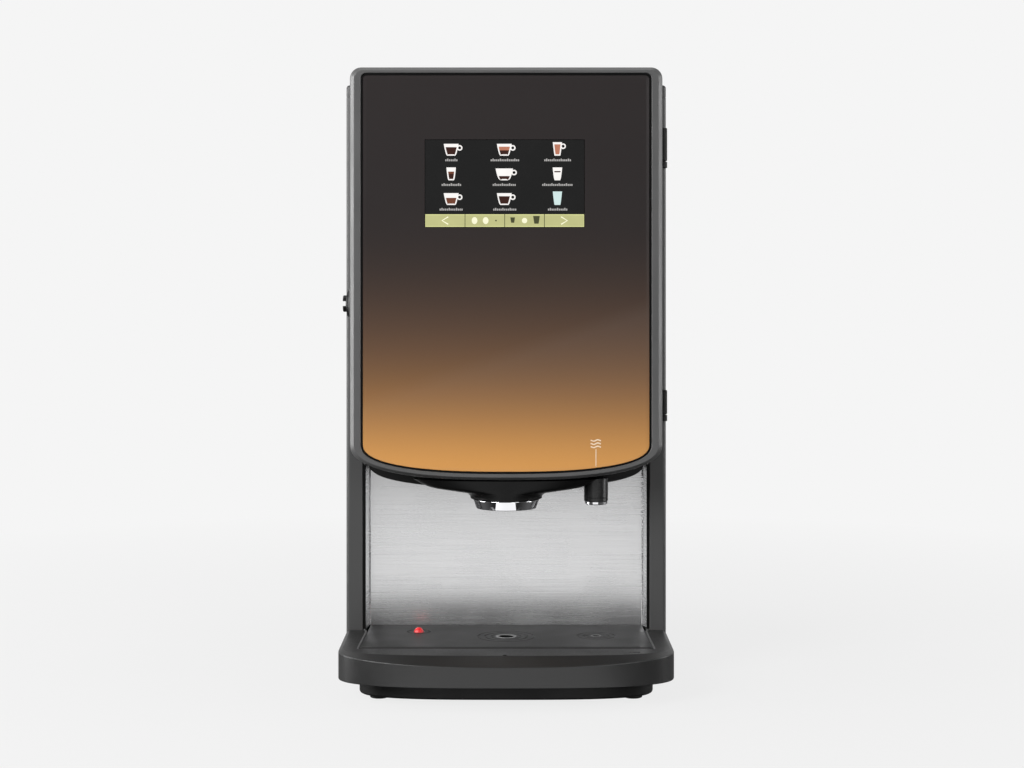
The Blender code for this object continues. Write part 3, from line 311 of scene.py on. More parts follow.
CABINET = surface("cabinet_paint", grey(64), 0.42, grain=1.1, depth=0.035, mottle=0.03, spread=0.03).mat
FASCIA = surface("fascia_plastic", grey(86), 0.36, grain=0.9, depth=0.015, mottle=0.04).mat
BLACK = surface("black_plastic", grey(12), 0.4, grain=0.9, depth=0.02, wear_and_highlight=0.1, shine=0.2).mat
BASE = surface("base_plastic", grey(20), 0.5, grain=1.0, depth=0.04, shine=0.25).mat
TRAY = surface("tray_plastic", grey(34), 0.4, grain=1.1, depth=0.04, mottle=0.05).mat
GRILLE = surface("grille_paint", grey(28), 0.42, grain=1.0, depth=0.03, mottle=0.05).mat
TAP = surface("tap_plastic", grey(26), 0.3, grain=0.9, depth=0.01).mat
DRAIN_RIM = surface("drain_rim", grey(112), 0.4, grain=0.8, depth=0.01).mat
# Near-black for painted shade: the gap round the panel, the strips beside the niche and the inside of the
# drains.
SHADE_BLACK = surface("painted_shade_black", grey(7), 0.6, wear_and_highlight=0.0, shine=0.1).mat
RUBBER = surface("foot_rubber", grey(28), 0.85, grain=1.4, depth=0.08).mat
CHROME = surface("chrome_trim", (0.82, 0.82, 0.84), 0.05, 1.0, 4.0, 0.002,
                 mottle=0.02, spread=0.02, wear_and_highlight=0).mat
SPLASH = brushed_steel("splash_steel", "XY", (0.66, 0.66, 0.665), 0.26)
BOILER = brushed_steel("boiler_steel", "Z", (0.6, 0.6, 0.6), 0.34)
ZINC = zinc("chassis_zinc")
PANEL = panel_print()
GLASS = surface("display_glass", grey(30), 0.12, grain=12.0, depth=0.004, wear_and_highlight=0.0, mottle=0.03).mat
RED = surface("float_plastic", linear(214, 40, 44), 0.35, grain=1.0, depth=0.02).mat
OUTLET_RED = surface("outlet_plastic", linear(176, 38, 30), 0.4, grain=1.0, depth=0.03).mat
LOCK_METAL = surface("lock_metal", grey(52), 0.28, 0.7, 0.9, 0.01).mat
HINGE_METAL = surface("hinge_metal", grey(26), 0.4, 0.0, 0.9, 0.02, shine=0.2).mat
STEEL = surface("screw_steel", (0.5, 0.5, 0.5), 0.3, 1.0, 0.8, 0.01).mat
CLEAR = clear_plastic("canister_plastic", (0.78, 0.81, 0.83), 0.3)
MILKY = surface("natural_plastic", (0.74, 0.74, 0.69), 0.35, grain=1.2, depth=0.03).mat
HOSE = surface("hose_silicone", (0.7, 0.68, 0.62), 0.45, grain=1.5, depth=0.03).mat
MOTOR = surface("motor_metal", (0.43, 0.44, 0.45), 0.34, 0.9, 0.7, 0.01).mat
BOARD = surface("board_laminate", (0.02, 0.12, 0.05), 0.4, grain=1.8, depth=0.03, mottle=0.2).mat
VALVE = surface("valve_plastic", (0.5, 0.51, 0.53), 0.45, grain=1.2, depth=0.03).mat
FAN = surface("fan_plastic", grey(34), 0.4, grain=1.0, depth=0.02).mat
PRINT = surface("panel_marks", linear(255, 232, 204), 0.4, grain=1.0, depth=0.004, wear_and_highlight=0.0).mat


# ---- mesh helpers

def skin(bm, low, high):
    """Faces between two rows of vertices; either row, but not both, may be a single point."""
    count = max(len(low), len(high))
    for i in range(count):
        j = (i + 1) % count
        corners = [low[i % len(low)], low[j % len(low)], high[j % len(high)], high[i % len(high)]]
        bm.faces.new(list(dict.fromkeys(corners)))


def loft(rings, bm=None, looped=False):
    """Skin between rings of equal length; the ends are capped, or joined when looped."""
    bm = bm or bmesh.new()
    rows = [[bm.verts.new(Vector(p) * MM) for p in ring] for ring in rings]
    for low, high in zip(rows, rows[1:]):
        skin(bm, low, high)
    if looped:
        skin(bm, rows[-1], rows[0])
    else:
        bm.faces.new(rows[0])
        bm.faces.new(rows[-1])
    return bm


def lathe(profile, centre, axis=(0, 0, 1), bm=None, steps=ROUND, closed=False):
    """A (radius, height) profile turned about an axis through a centre."""
    bm = bm or bmesh.new()
    turn = Vector((0, 0, 1)).rotation_difference(Vector(axis)).to_matrix()
    rows = []
    for radius, height in profile:
        sides = steps if radius else 1
        angles = [2 * pi * i / steps for i in range(sides)]
        points = [Vector((radius * cos(a), radius * sin(a), height)) for a in angles]
        rows.append([bm.verts.new((Vector(centre) + turn @ p) * MM) for p in points])
    for low, high in zip(rows, rows[1:]):
        skin(bm, low, high)
    if closed:
        skin(bm, rows[-1], rows[0])
    return bm


def rod(start, end, radius, bm=None, edge=0.5, steps=SMALL_ROUND, end_radius=None):
    """A rod or cone with softened ends."""
    way = Vector(end) - Vector(start)
    far = radius if end_radius is None else end_radius
    profile = [(0, 0), (radius - edge, 0), (radius, edge)]
    profile += [(far, way.length - edge), (far - edge, way.length), (0, way.length)]
    return lathe(profile, start, way.normalized(), bm, steps)


def rod_y(x, z, ys, radius, bm=None, edge=0.5, steps=SMALL_ROUND):
    """A rod along Y."""
    return rod((x, ys[0], z), (x, ys[1], z), radius, bm, edge, steps)


def block(xs, ys, zs, bm=None, edge=0.4):
    """A box with softened edges."""
    bm = bm or bmesh.new()
    size = [high - low for low, high in (xs, ys, zs)]
    middle = Vector([(low + high) / 2 for low, high in (xs, ys, zs)])
    place = Matrix.Translation(middle * MM) @ Matrix.Diagonal([s * MM for s in size] + [1])
    made = bmesh.ops.create_cube(bm, size=1.0, matrix=place)["verts"]
    if edge:
        edges = list({e for v in made for e in v.link_edges})
        bmesh.ops.bevel(bm, geom=edges, offset=edge * MM, segments=2, profile=0.5, affect="EDGES")
    return bm


def linked(name, data):
    """A new object in the scene."""
    obj = bpy.data.objects.new(name, data)
    bpy.context.scene.collection.objects.link(obj)
    return obj


def as_mesh(bm, name="temporary"):
    mesh = bpy.data.meshes.new(name)
    bm.to_mesh(mesh)
    bm.free()
    return mesh


def temporary(bm):
    bmesh.ops.recalc_face_normals(bm, faces=bm.faces)
    return linked("temporary", as_mesh(bm))


def evaluated(obj, *others):
    """The finished mesh of an object with its modifiers, as bmesh; the objects are removed."""
    bpy.context.view_layer.update()
    graph = bpy.context.evaluated_depsgraph_get()
    bm = bmesh.new()
    bm.from_mesh(bpy.data.meshes.new_from_object(obj.evaluated_get(graph)))
    for used in (obj, *others):
        bpy.data.objects.remove(used)
    return bm


def boolean(operation, solid, tools):
    obj = temporary(solid)
    others = [temporary(tool) for tool in tools]
    for other in others:
        step = obj.modifiers.new("step", "BOOLEAN")
        step.operation = operation
        step.object = other
    return evaluated(obj, *others)


def carved(solid, *tools):
    return boolean("DIFFERENCE", solid, tools)


def sheet(path, along, low, high, thickness, side):
    """A sheet bent along a path in the plane across one axis."""
    bm = bmesh.new()
    order = {"X": lambda u, v, w: (w, u, v), "Z": lambda u, v, w: (u, v, w)}[along]
    rows = [[bm.verts.new(Vector(order(u, v, w)) * MM) for w in (low, high)] for u, v in path]
    for (a, b), (c, d) in zip(rows, rows[1:]):
        bm.faces.new((a, c, d, b))
    obj = linked("temporary", as_mesh(bm))
    solid = obj.modifiers.new("sheet", "SOLIDIFY")
    solid.thickness = thickness * MM
    solid.offset = side
    solid.use_even_offset = True
    return evaluated(obj)


def piece(name, bm, body, look, edge=0.0, sharp=38):
    """Makes an object and fixes it to its body; one named as a CAD node stands for that node."""
    bmesh.ops.recalc_face_normals(bm, faces=bm.faces)
    mesh = as_mesh(bm, name)
    mesh.materials.clear()
    mesh.materials.append(look)
    mesh.shade_smooth()
    mesh.set_sharp_from_angle(angle=radians(sharp))
    obj = linked(name, mesh)
    if edge:
        soften(obj, edge)
    flatten(obj)
    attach(obj, body)
    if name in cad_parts:
        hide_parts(name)


def flatten(obj):
    """Lets large faces set the shading, so that only the rounded edges look rounded."""
    normals = obj.modifiers.new("normals", "WEIGHTED_NORMAL")
    normals.weight = 100
    normals.keep_sharp = True


def soften(obj, width):
    bevel = obj.modifiers.new("edges", "BEVEL")
    bevel.width = width * MM
    bevel.segments = 2
    bevel.limit_method = "ANGLE"
    bevel.angle_limit = radians(38)


def arc(centre, radius, start, end, steps):
    angles = [radians(start + (end - start) * i / steps) for i in range(steps + 1)]
    return [(centre[0] + radius * cos(a), centre[1] + radius * sin(a)) for a in angles]


def superellipse(half, depth, power, steps):
    """A quarter superellipse from (half, 0) to (0, depth)."""
    points = []
    for i in range(steps + 1):
        a = pi / 2 * i / steps
        points.append((half * max(cos(a), 0.0) ** (2 / power), depth * sin(a) ** (2 / power)))
    return points


def curve_through(points, steps):
    """A smooth curve through a few (u, v) points, with this many steps between each pair."""
    ends = [points[0]] + points + [points[-1]]
    smooth = []
    for before, start, end, after in zip(ends, ends[1:], ends[2:], ends[3:]):
        for i in range(steps):
            t = i / steps
            weights = (-t + 2 * t**2 - t**3, 2 - 5 * t**2 + 3 * t**3, t + 4 * t**2 - 3 * t**3, t**3 - t**2)
            near = list(zip(weights, (before, start, end, after)))
            smooth.append(tuple(sum(w * p[k] / 2 for w, p in near) for k in (0, 1)))
    return smooth + [points[-1]]


def circle(centre, radius, tall=None, steps=24, offset=0.0):
    """Points round a centre; tall is the upright radius of an oval."""
    angles = [2 * pi * (k + offset) / steps for k in range(steps)]
    return [(centre[0] + radius * cos(a), centre[1] + (tall or radius) * sin(a)) for a in angles]


def mirrored(right):
    """A closed outline from its right half, which starts on the centre line."""
    return right + [(-u, v) for u, v in reversed(right[1:])]


def rounded_rectangle(half_u, low_v, high_v, radius, steps=8):
    corners = [
        ((half_u - radius, low_v + radius), -90),
        ((half_u - radius, high_v - radius), 0),
        ((-half_u + radius, high_v - radius), 90),
        ((-half_u + radius, low_v + radius), 180),
    ]
    return [p for centre, start in corners for p in arc(centre, radius, start, start + 90, steps)]


def door_outline(half, top, bottom, corner, y):
    """The fascia outline: straight top, rounded upper corners and a bowed lower edge."""
    bow = superellipse(half, DOOR_SHOULDER - bottom, SMILE, 40)
    right = [(u, DOOR_SHOULDER - v) for u, v in reversed(bow)]
    right[0] = (0.0, bottom)
    right += arc((half - corner, top - corner), corner, 0, 90, 12)
    return [(x, y, z) for x, z in mirrored(right)]


def tray_outline(half, front, rear, height, shoulder=TRAY_SHOULDER, power=TRAY_BOW):
    """The plan of the tray: straight back and sides, bowed front; height gives z from x."""
    bow = superellipse(half, shoulder - front, power, 48)
    right = [(u, shoulder - v) for u, v in reversed(bow)]
    right[0] = (0.0, front)
    right.append((half, rear))
    return [(x, y, height(x)) for x, y in mirrored(right)]


def level(z):
    return lambda x: z


def screw_heads(places, axis, bm=None, radius=3.2):
    """Pan head screws with a round driver recess."""
    profile = [(0, -0.6), (radius * 0.42, -0.6), (radius * 0.42, 1.5), (radius * 0.66, 1.55)]
    profile += [(radius * 0.92, 1.1), (radius, 0.4), (radius, -0.2), (0, -0.7)]
    bm = bm or bmesh.new()
    for place in places:
        lathe(profile, place, axis, bm, SMALL_ROUND)
    return bm


# ---- cabinet

def side_panel(side, name):
    """Folded side sheet with its rounded corners, the pillar face and its return."""
    x, front, rear = HALF_WIDTH, BODY_FRONT, BODY_REAR - 1.8
    corner, pillar = 4.0, HALF_WIDTH - 16.8
    path = [(x - 14, rear)]
    path += arc((x - corner, rear - corner), corner, 90, 0, 8)
    path += arc((x - corner, front + corner), corner, 0, -90, 8)
    path += [(pillar + 1.2, front)] + arc((pillar + 1.2, front + 1.2), 1.2, -90, -180, 4)[1:]
    path.append((pillar, front + 20))
    if side < 0:
        path = [(-u, v) for u, v in reversed(path)]
    panel = sheet(path, "Z", side_low.z, side_high.z, 1.5, 1.0)
    if side > 0:
        notches = [block((152.6, 161.5), (-97.0, -91.2), (low - 7.4, high + 0.4), edge=0)
                   for low, high in HINGES.values()]
        panel = carved(panel, *notches)
    else:
        panel = carved(panel, block((-154.0, -145.6), (-96.0, -92.5), (348.0, 382.0), edge=0))
    piece(name, panel, "cabinet", CABINET, edge=0.3)
    places = [(side * (x - 0.4), y, z) for y in (-70, 225) for z in (60, 300, 560)]
    heads = screw_heads(places, (side, 0, 0), radius=2.8)
    piece(name + "_screws", heads, "cabinet", STEEL)


def top_cover():
    def ring(inset, z):
        corner = max(4 - inset, 1.0)
        outline = rounded_rectangle(HALF_WIDTH - inset, BODY_FRONT + inset, BODY_REAR - inset, corner)
        return [(x, y, z) for x, y in outline]

    low = cover_low.z
    rings = [ring(1.5, BODY_TOP - 1.5), ring(1.5, low), ring(0.3, low), ring(0, low + 0.4)]
    for i in range(7):
        a = radians(15 * i)
        rings.append(ring(3 * (1 - cos(a)), BODY_TOP - 3 + 3 * sin(a)))
    piece("top_cover", loft(rings), "cabinet", CABINET)


def rear_panel():
    """Rear sheet with louvres for the fan and the boiler bay, and its fixing screws."""
    panel = block((rear_low.x, rear_high.x), (rear_low.y, rear_high.y), (rear_low.z, rear_high.z), edge=0)
    through = (BODY_REAR - 4, BODY_REAR + 2)
    bays = ((FAN_X - 32, FAN_X + 32), (-120, -60))
    vents = [(low, high, z) for z in range(270, 331, 10) for low, high in bays]
    vents += [(-40, 40, z) for z in range(530, 561, 10)]
    slots, hoods = bmesh.new(), bmesh.new()
    for low, high, z in vents:
        block((low, high), through, (z - 2, z + 2), slots, edge=0)
        louvre(hoods, low - 1.5, high + 1.5, z)
    block((INLET_X - 22.4, INLET_X + 22.4), through, (INLET_Z - 29.4, INLET_Z + 29.4), slots, edge=0)
    panel = carved(panel, slots, rod_y(95, 75, through, 10.6, edge=0.01))
    piece("rear_panel", panel, "cabinet", CABINET, sharp=3)
    piece("rear_louvres", hoods, "cabinet", CABINET)
    places = [(x, BODY_REAR, z) for x in (-148, 148) for z in (32, 200, 400, 570)]
    piece("rear_screws", screw_heads(places, (0, 1, 0)), "cabinet", STEEL)


def louvre(bm, low, high, z):
    """A pressed hood over one slot of the rear panel."""
    section = [(0, -1.8), (0.6, -2.2)]
    section += [(1.9 * sin(radians(a)), 0.1 + 1.9 * cos(radians(a))) for a in (80, 50, 20)]
    section.append((0, 2.6))
    loft([[(x, BODY_REAR + depth, z + up) for depth, up in section] for x in (low, high)], bm)


def base_pan():
    def ring(inset, z):
        half, front, rear = base_high.x - inset, base_low.y + inset, base_high.y - inset
        return tray_outline(half, front, rear, level(z), -165.0, 3.2)

    low, high = base_low.z, base_high.z
    rings = [ring(2, low + 2), ring(2, high), ring(0, high)]
    for i in range(5):
        a = radians(22.5 * i)
        rings.append(ring(2.2 * (1 - cos(a)), low + 2.2 * (1 - sin(a))))
    piece("base_pan", loft(rings), "cabinet", BASE)


def feet():
    for name in ("foot_front_left", "foot_front_right", "foot_rear_left", "foot_rear_right"):
        low, high = extent(name)
        radius = (high.x - low.x) / 2
        middle = ((low.x + high.x) / 2, (low.y + high.y) / 2, 0)
        profile = [(0, 0.4), (radius * 0.5, 0.4), (radius * 0.55, 0), (radius - 1.0, 0), (radius - 0.3, 0.3)]
        profile += [(radius, 1.0), (radius, 3.2), (3.0, 3.2), (3.0, 5.8), (4.6, 5.8), (2.5, 8.8), (0, 9.8)]
        piece(name, lathe(profile, middle), "cabinet", RUBBER)


def splash_plate():
    """Stainless sheet behind and beside the serving niche, bent with small radii."""
    front = BODY_FRONT + 0.6
    rear_half, front_half, rear = 138.2, 141.0, -65.0
    path = [(front_half, front)]
    path += arc((rear_half - 1.2, rear - 1.2), 1.3, 0, 90, 3)
    path = path + [(-u, v) for u, v in reversed(path)]
    plate = sheet(path, "Z", plate_low.z, plate_high.z, 1.2, 1.0)
    piece("splash_plate", plate, "cabinet", SPLASH)
    # Near-black strips where the sheet meets the pillars: painted shade for the shadow line at the niche
    # sides.
    side_shade = bmesh.new()
    for side in (-1, 1):
        xs = sorted((side * (front_half - 0.5), side * (HALF_WIDTH - 16.9)))
        block(xs, (BODY_FRONT + 0.3, BODY_FRONT + 2.2), (plate_low.z + 25, 214.0), side_shade, edge=0.5)
    piece("niche_side_shade", side_shade, "cabinet", SHADE_BLACK)


# ---- serving head

def dispense_head():
    """Black moulding above the niche: a bowed fascia and the flared spout carrier."""
    half, drop, spring = 137.3, 24.6, 214.5
    faces = []
    for inset, y in ((1.2, BODY_FRONT + 0.5), (0.3, BODY_FRONT + 1.0), (0.0, BODY_FRONT + 2.0), (0.0, -66.3)):
        bow = superellipse(half - inset, drop - inset, SMILE, 40)
        right = [(u, spring - v) for u, v in reversed(bow)] + [(half - inset, head_high.z)]
        faces.append([(x, y, z) for x, z in mirrored(right)])
    bm = loft(faces)
    rim = spout_high.z
    side = [(33.0, 0.0), (34.9, 0.8), (36.0, 3.8), (41.0, 6.6), (56.0, 8.6), (76.0, 12.0)]
    side.append((92.0, DOOR_BOTTOM - 0.8 - rim))
    rings = []
    for across, rise in curve_through(side, 8):
        oval = circle((0, SPOUT_Y), across, min(across, 33.6), 96)
        rings.append([(x, y, rim + rise) for x, y in oval])
    loft(rings, bm)
    block((-30, 30), (-118, -92), (rim + 4, DOOR_BOTTOM - 1.2), bm)
    lathe([(0, 16), (15, 16), (15, 2), (24, 2), (27, 4), (27, 14), (0, 14)], (0, SPOUT_Y, spout_low.z), bm=bm)
    piece("dispense_head", bm, "cabinet", BLACK)


def spout_ring():
    """Chrome ring that narrows towards its lower edge."""
    top, low = spout_high.z, spout_low.z
    profile = [(26.6, top), (SPOUT_R + 0.3, top)] + arc((SPOUT_R + 0.3, top - 0.6), 0.6, 70, -20, 4)
    profile += [(SPOUT_R - 1.8, low + 0.5), (SPOUT_R - 2.4, low), (27.2, low), (26.6, low + 0.6)]
    ring = lathe(profile, (0, SPOUT_Y, 0), steps=128, closed=True)
    piece("spout_ring", ring, "cabinet", CHROME)


def hot_water_tap():
    low, high = 180.8, DOOR_BOTTOM - 0.8
    profile = [(0, high), (11.8, high), (11.8, low + 4.2), (11.4, low + 3.9), (11.4, low + 3.5)]
    profile += [(11.8, low + 3.2), (11.8, low + 0.5), (11.3, low), (6.0, low), (6.0, low + 8), (0, low + 8)]
    bm = lathe(profile, (WATER_X, WATER_Y, 0))
    block((WATER_X - 8, WATER_X + 8), (-125.0, BODY_FRONT + 0.2), (196, high - 0.7), bm)
    piece("hot_water_outlet", bm, "cabinet", TAP)
    top, low = water_ring_high.z, water_ring_low.z
    profile = [(6.2, top), (11.2, top), (11.2, low + 1.2), (10.2, low + 0.4), (6.8, low + 0.4)]
    profile.append((6.2, low + 1.0))
    ring = lathe(profile, (WATER_X, WATER_Y, 0), closed=True)
    piece("hot_water_ring", ring, "cabinet", CHROME)


# ---- drip tray

def plate_half(y):
    """Half width of the cup plate, which widens a little towards the front."""
    return 137.4 + 2.4 * (-66.0 - y) / 127.0


def drip_tray():
    """Bowed tray: an apron, a dipped rim with a soft edge, a recess for the cup plate and a basin."""
    def rim(drop):
        return lambda x: TRAY_TOP - 1.2 - drop - (TRAY_DIP - 1.2) * (1 - abs(x / TRAY_HALF) ** 2.2)

    outer = [
        tray_outline(TRAY_HALF - inset, TRAY_FRONT + inset, TRAY_REAR, level(TRAY_BOTTOM + rise))
        for inset, rise in ((0.7, 0.0), (0.2, 0.2), (0.0, 0.8))
    ]
    for i in range(6):
        a = radians(14 * i)
        back, drop = 1.4 * (1 - cos(a)), 1.4 * (1 - sin(a))
        outer.append(tray_outline(TRAY_HALF - back / 2, TRAY_FRONT + 0.2 + back, TRAY_REAR, rim(drop)))
    outer.append(tray_outline(TRAY_HALF - 2.8, TRAY_FRONT + 16.2, TRAY_REAR, level(TRAY_TOP - 0.3)))
    outer.append(tray_outline(TRAY_HALF - 3.8, TRAY_FRONT + 17.8, TRAY_REAR, level(TRAY_TOP)))

    def recess(extra, z):
        front, rear = PLATE_FRONT - 0.3 - extra / 2, TRAY_REAR + 2
        wide, narrow = plate_half(front) + extra, plate_half(rear) + extra
        return [(-wide, front, z), (wide, front, z), (narrow, rear, z), (-narrow, rear, z)]

    seat = grille_low.z - 0.3
    cup_bed = loft([recess(0.4, seat), recess(0.4, seat + 0.9), recess(2.6, TRAY_TOP + 0.6)])
    basin = loft([
        [(x, y, z) for x, y in rounded_rectangle(half, -188 + inset, -99.8 - inset, 12)]
        for half, inset, z in ((132, 0.4, TRAY_BOTTOM + 2.5), (133, 0, TRAY_TOP + 1))
    ])
    hollow = loft([
        tray_outline(half, front, -191.5, level(z), -192.0)
        for half, front, z in ((154, -244, 20), (154, -244, 35), (151, -229, 42.5))
    ])
    place = (-1.2, TRAY_FRONT + 19.6, TRAY_TOP)
    grip = lathe([(0, -3), (2.2, -3), (2.2, 3), (0, 3)], place, steps=SMALL_ROUND)
    latch = block((116, 126), (-214.4, -212.0), (TRAY_TOP - 4, TRAY_TOP + 1), edge=0)
    tray = carved(loft(outer), cup_bed, basin, hollow, grip, latch)
    piece("drip_tray", tray, "tray", TRAY)


def drip_grille():
    """Cup plate: drains, the float hole, round cup targets and fine grip lines."""
    front, rear, corner = PLATE_FRONT, PLATE_REAR, 3.0

    def ring(inset, z):
        wide, narrow = plate_half(front) - inset, plate_half(rear) - inset
        right = [(wide - corner, front + inset), (wide, front + corner), (narrow, rear - inset)]
        points = [(0, front + inset)] + right + [(-u, v) for u, v in reversed(right)]
        return [(x, y, z) for x, y in points]

    top = grille_high.z
    plate = loft([ring(0, grille_low.z), ring(0, top - 0.4), ring(0.4, top)])
    cup, water, marker = (0.0, SPOUT_Y), (WATER_X, WATER_Y), (FLOAT_X, FLOAT_Y)
    mouth = [(0, -9), (7.4, -9), (7.4, -1.4), (8.4, -0.7), (10.8, 0.1), (10.8, 3), (0, 3)]
    drains = lathe(mouth, (*cup, top))
    tap_drain = lathe([(0, -9), (4.0, -9), (4.0, -0.6), (5.0, 0.1), (5.0, 3), (0, 3)], (*water, top))
    hole = lathe([(0, -9), (5.5, -9), (5.5, -0.5), (6.2, 0.1), (6.2, 3), (0, 3)], (*marker, top))
    grooves = bmesh.new()
    for centre, radii in ((cup, (14.0, 20.4, 27.4)), (water, (8.6, 12.2, 18.0)), (marker, (10.6,))):
        for radius in radii:
            groove = [(radius, -0.6), (radius + 1.1, -0.6), (radius + 1.1, 3), (radius, 3)]
            lathe(groove, (*centre, TRAY_TOP), bm=grooves, closed=True)
    lines = bmesh.new()
    for y in (-187.5, -183.0):
        block((-128, 128), (y - 0.4, y + 0.4), (top - 0.5, top + 1), lines, edge=0)
    plate = carved(plate, drains, tap_drain, hole, grooves, lines)
    piece("drip_grille", plate, "cup_plate", GRILLE)
    drain_fittings(cup, water, top)
    bead = bmesh.new()
    half = plate_half(front) - 2.0
    section = arc((front + 1.1, top - 0.2), 0.8, 180, 0, 6)
    loft([[(x, y, z) for y, z in section] for x in (-half, half)], bead)
    piece("plate_lip", bead, "cup_plate", GRILLE)


def drain_fittings(cup, water, top):
    """A light rim for the drain under the spout and the one under the tap, and a near-black pierced well in
    each, painted shade for the dark inside of the drain.
    """
    rims, wells, holes = bmesh.new(), bmesh.new(), bmesh.new()
    for centre, radius, flange in ((cup, 7.4, 10.3), (water, 4.0, 4.9)):
        rim = [(radius, -0.8), (radius, 0.1), (radius + 0.4, 0.3), (flange - 0.2, 0.3)]
        rim += [(flange, 0.0), (flange - 0.6, -0.8)]
        lathe(rim, (*centre, top), bm=rims, closed=True)
        well = [(0, -2.4), (radius, -2.4), (radius, -0.2), (radius - 0.5, -0.2)]
        well += [(radius - 0.5, -1.7), (0, -1.7)]
        lathe(well, (*centre, top), bm=wells)
    for x, y in circle(cup, 4.2, steps=6):
        rod((x, y, top - 4), (x, y, top), 1.2, holes, edge=0.01, steps=12)
    piece("drain_rims", rims, "cup_plate", DRAIN_RIM)
    # The wells are near-black: painted shade inside the drains.
    piece("drain_wells_shade", carved(wells, holes), "cup_plate", SHADE_BLACK)


def tray_float():
    """Red full-tray marker: a domed cap, a stem and the float in the basin."""
    top = float_high.z
    cap = ((0, 0), (1.3, 0.15), (2.6, 0.9), (3.8, 2.1), (4.7, 3.8), (5.0, 5.2))
    profile = [(radius, top - drop) for radius, drop in cap]
    profile += [(5.0, 46.2), (3.0, 45.7), (3.0, 30.0), (0, 30.0)]
    bm = lathe(profile, (FLOAT_X, FLOAT_Y, 0), steps=48)
    rod((FLOAT_X, FLOAT_Y - 9.6, 27), (FLOAT_X, FLOAT_Y - 9.6, 33), 12.0, bm, edge=1.0)
    piece("tray_float", bm, "full_tray_marker", RED)


# ---- door

def fascia_frame():
    """Moulded frame round the printed panel: soft front edge, side walls and an inner ledge."""
    front, back = DOOR_FRONT, DOOR_BACK
    half, top, low, wall = DOOR_HALF_FRONT, DOOR_TOP, DOOR_BOTTOM, 3.0
    opening = (PANEL_HALF + 2.2, PANEL_TOP + 2.3, PANEL_BOTTOM - 2.1, 5.6)
    behind = (PANEL_HALF - 6.5, PANEL_TOP - 6.5, PANEL_BOTTOM + 6.5, 3.0)
    rings = [door_outline(*opening, front + 0.5)]
    rings.append(door_outline(opening[0] + 0.4, opening[1] + 0.4, opening[2] - 0.4, 6.0, front + 0.05))
    section = [(4.6, 0.0), (4.2, 0.08), (3.9, 0.3), (0.9, 3.1), (0.4, 3.9), (0.1, 4.8), (0.0, 6.0)]
    for inset, depth in section:
        upright = 0.8 * inset
        corner = 11.0 - 0.7 * inset
        rings.append(door_outline(half - inset, top - upright, low + upright, corner, front + depth))
    rings += [
        door_outline(DOOR_HALF_BACK, top, low, 12.0, back - 0.6),
        door_outline(DOOR_HALF_BACK - 0.6, top - 0.6, low + 0.6, 11.4, back),
        door_outline(DOOR_HALF_BACK - wall, top - wall, low + wall, 9.0, back),
        door_outline(half - wall, top - wall, low + wall, 8.0, front + 7.2),
        door_outline(*behind, front + 7.2),
        door_outline(*behind, front + 4.2),
        door_outline(*opening, front + 4.2),
    ]
    frame_mesh = loft(rings, looped=True)
    rooms = bmesh.new()
    for z0, z1 in HINGES.values():
        rod((HINGE_X, HINGE_Y, z0 - 0.4), (HINGE_X, HINGE_Y, z1 + 0.4), 4.5, rooms, edge=0.01)
    bore = rod((-145.0, LOCK_Y, LOCK_Z), (-158.0, LOCK_Y, LOCK_Z), 9.3, edge=0.01)
    boss = rod((-151.0, LOCK_Y, LOCK_Z), (-154.6, LOCK_Y, LOCK_Z), 15.0, steps=ROUND)
    solid = carved(boolean("UNION", frame_mesh, [boss]), bore, rooms)
    piece("door_frame", solid, "door", FASCIA)
    knuckles = bmesh.new()
    for z0, _ in HINGES.values():
        block((152.3, 157), (-99.4, -96.7), (z0 - 6.9, z0 - 0.8), knuckles)
        rod((HINGE_X, HINGE_Y, z0 - 7), (HINGE_X, HINGE_Y, z0 - 0.7), 4.0, knuckles)
    piece("door_knuckles", knuckles, "door", HINGE_METAL)
    # A near-black strip fills the gap between frame and panel: painted shade for the shadowed gap.
    outer = (opening[0] - 0.1, opening[1] - 0.1, opening[2] + 0.1, 5.5)
    inner = (PANEL_HALF + 0.3, PANEL_TOP + 0.3, PANEL_BOTTOM - 0.3, 4.3)
    edges = ((outer, 1.2), (outer, 4.1), (inner, 4.1), (inner, 1.2))
    gap_shade = loft([door_outline(*size, front + depth) for size, depth in edges], looped=True)
    piece("panel_gap_shade", gap_shade, "door", SHADE_BLACK)


def front_panel():
    """Printed sheet with a shallow slope along its rim and the window for the display."""
    front = PANEL_FRONT
    faces = [(3.0, front), (0.4, front + 0.22), (0.1, front + 0.4), (0.0, front + 0.8), (0.0, front + 3.2)]
    size = (PANEL_HALF, PANEL_TOP, PANEL_BOTTOM, 4.0)
    rings = [door_outline(size[0] - i, size[1] - i, size[2] + i, size[3] - i, y) for i, y in faces]
    half_x, half_z = DISPLAY_HALF_X + 0.3, DISPLAY_HALF_Z + 0.3
    window = block(
        (DISPLAY_X - half_x, DISPLAY_X + half_x),
        (front - 5, front + 8),
        (DISPLAY_Z - half_z, DISPLAY_Z + half_z),
        edge=0,
    )
    piece("front_panel", carved(loft(rings), window), "door", PANEL, sharp=3)


def flat_shape(bm, outline, y, thickness=0.06):
    """A thin printed or lit shape in the plane of the front, from its (x, z) outline."""
    loft([[(x, level_y, z) for x, z in outline] for level_y in (y, y - thickness)], bm)


def rectangle(bm, xs, zs, y):
    flat_shape(bm, [(xs[0], zs[0]), (xs[1], zs[0]), (xs[1], zs[1]), (xs[0], zs[1])], y)


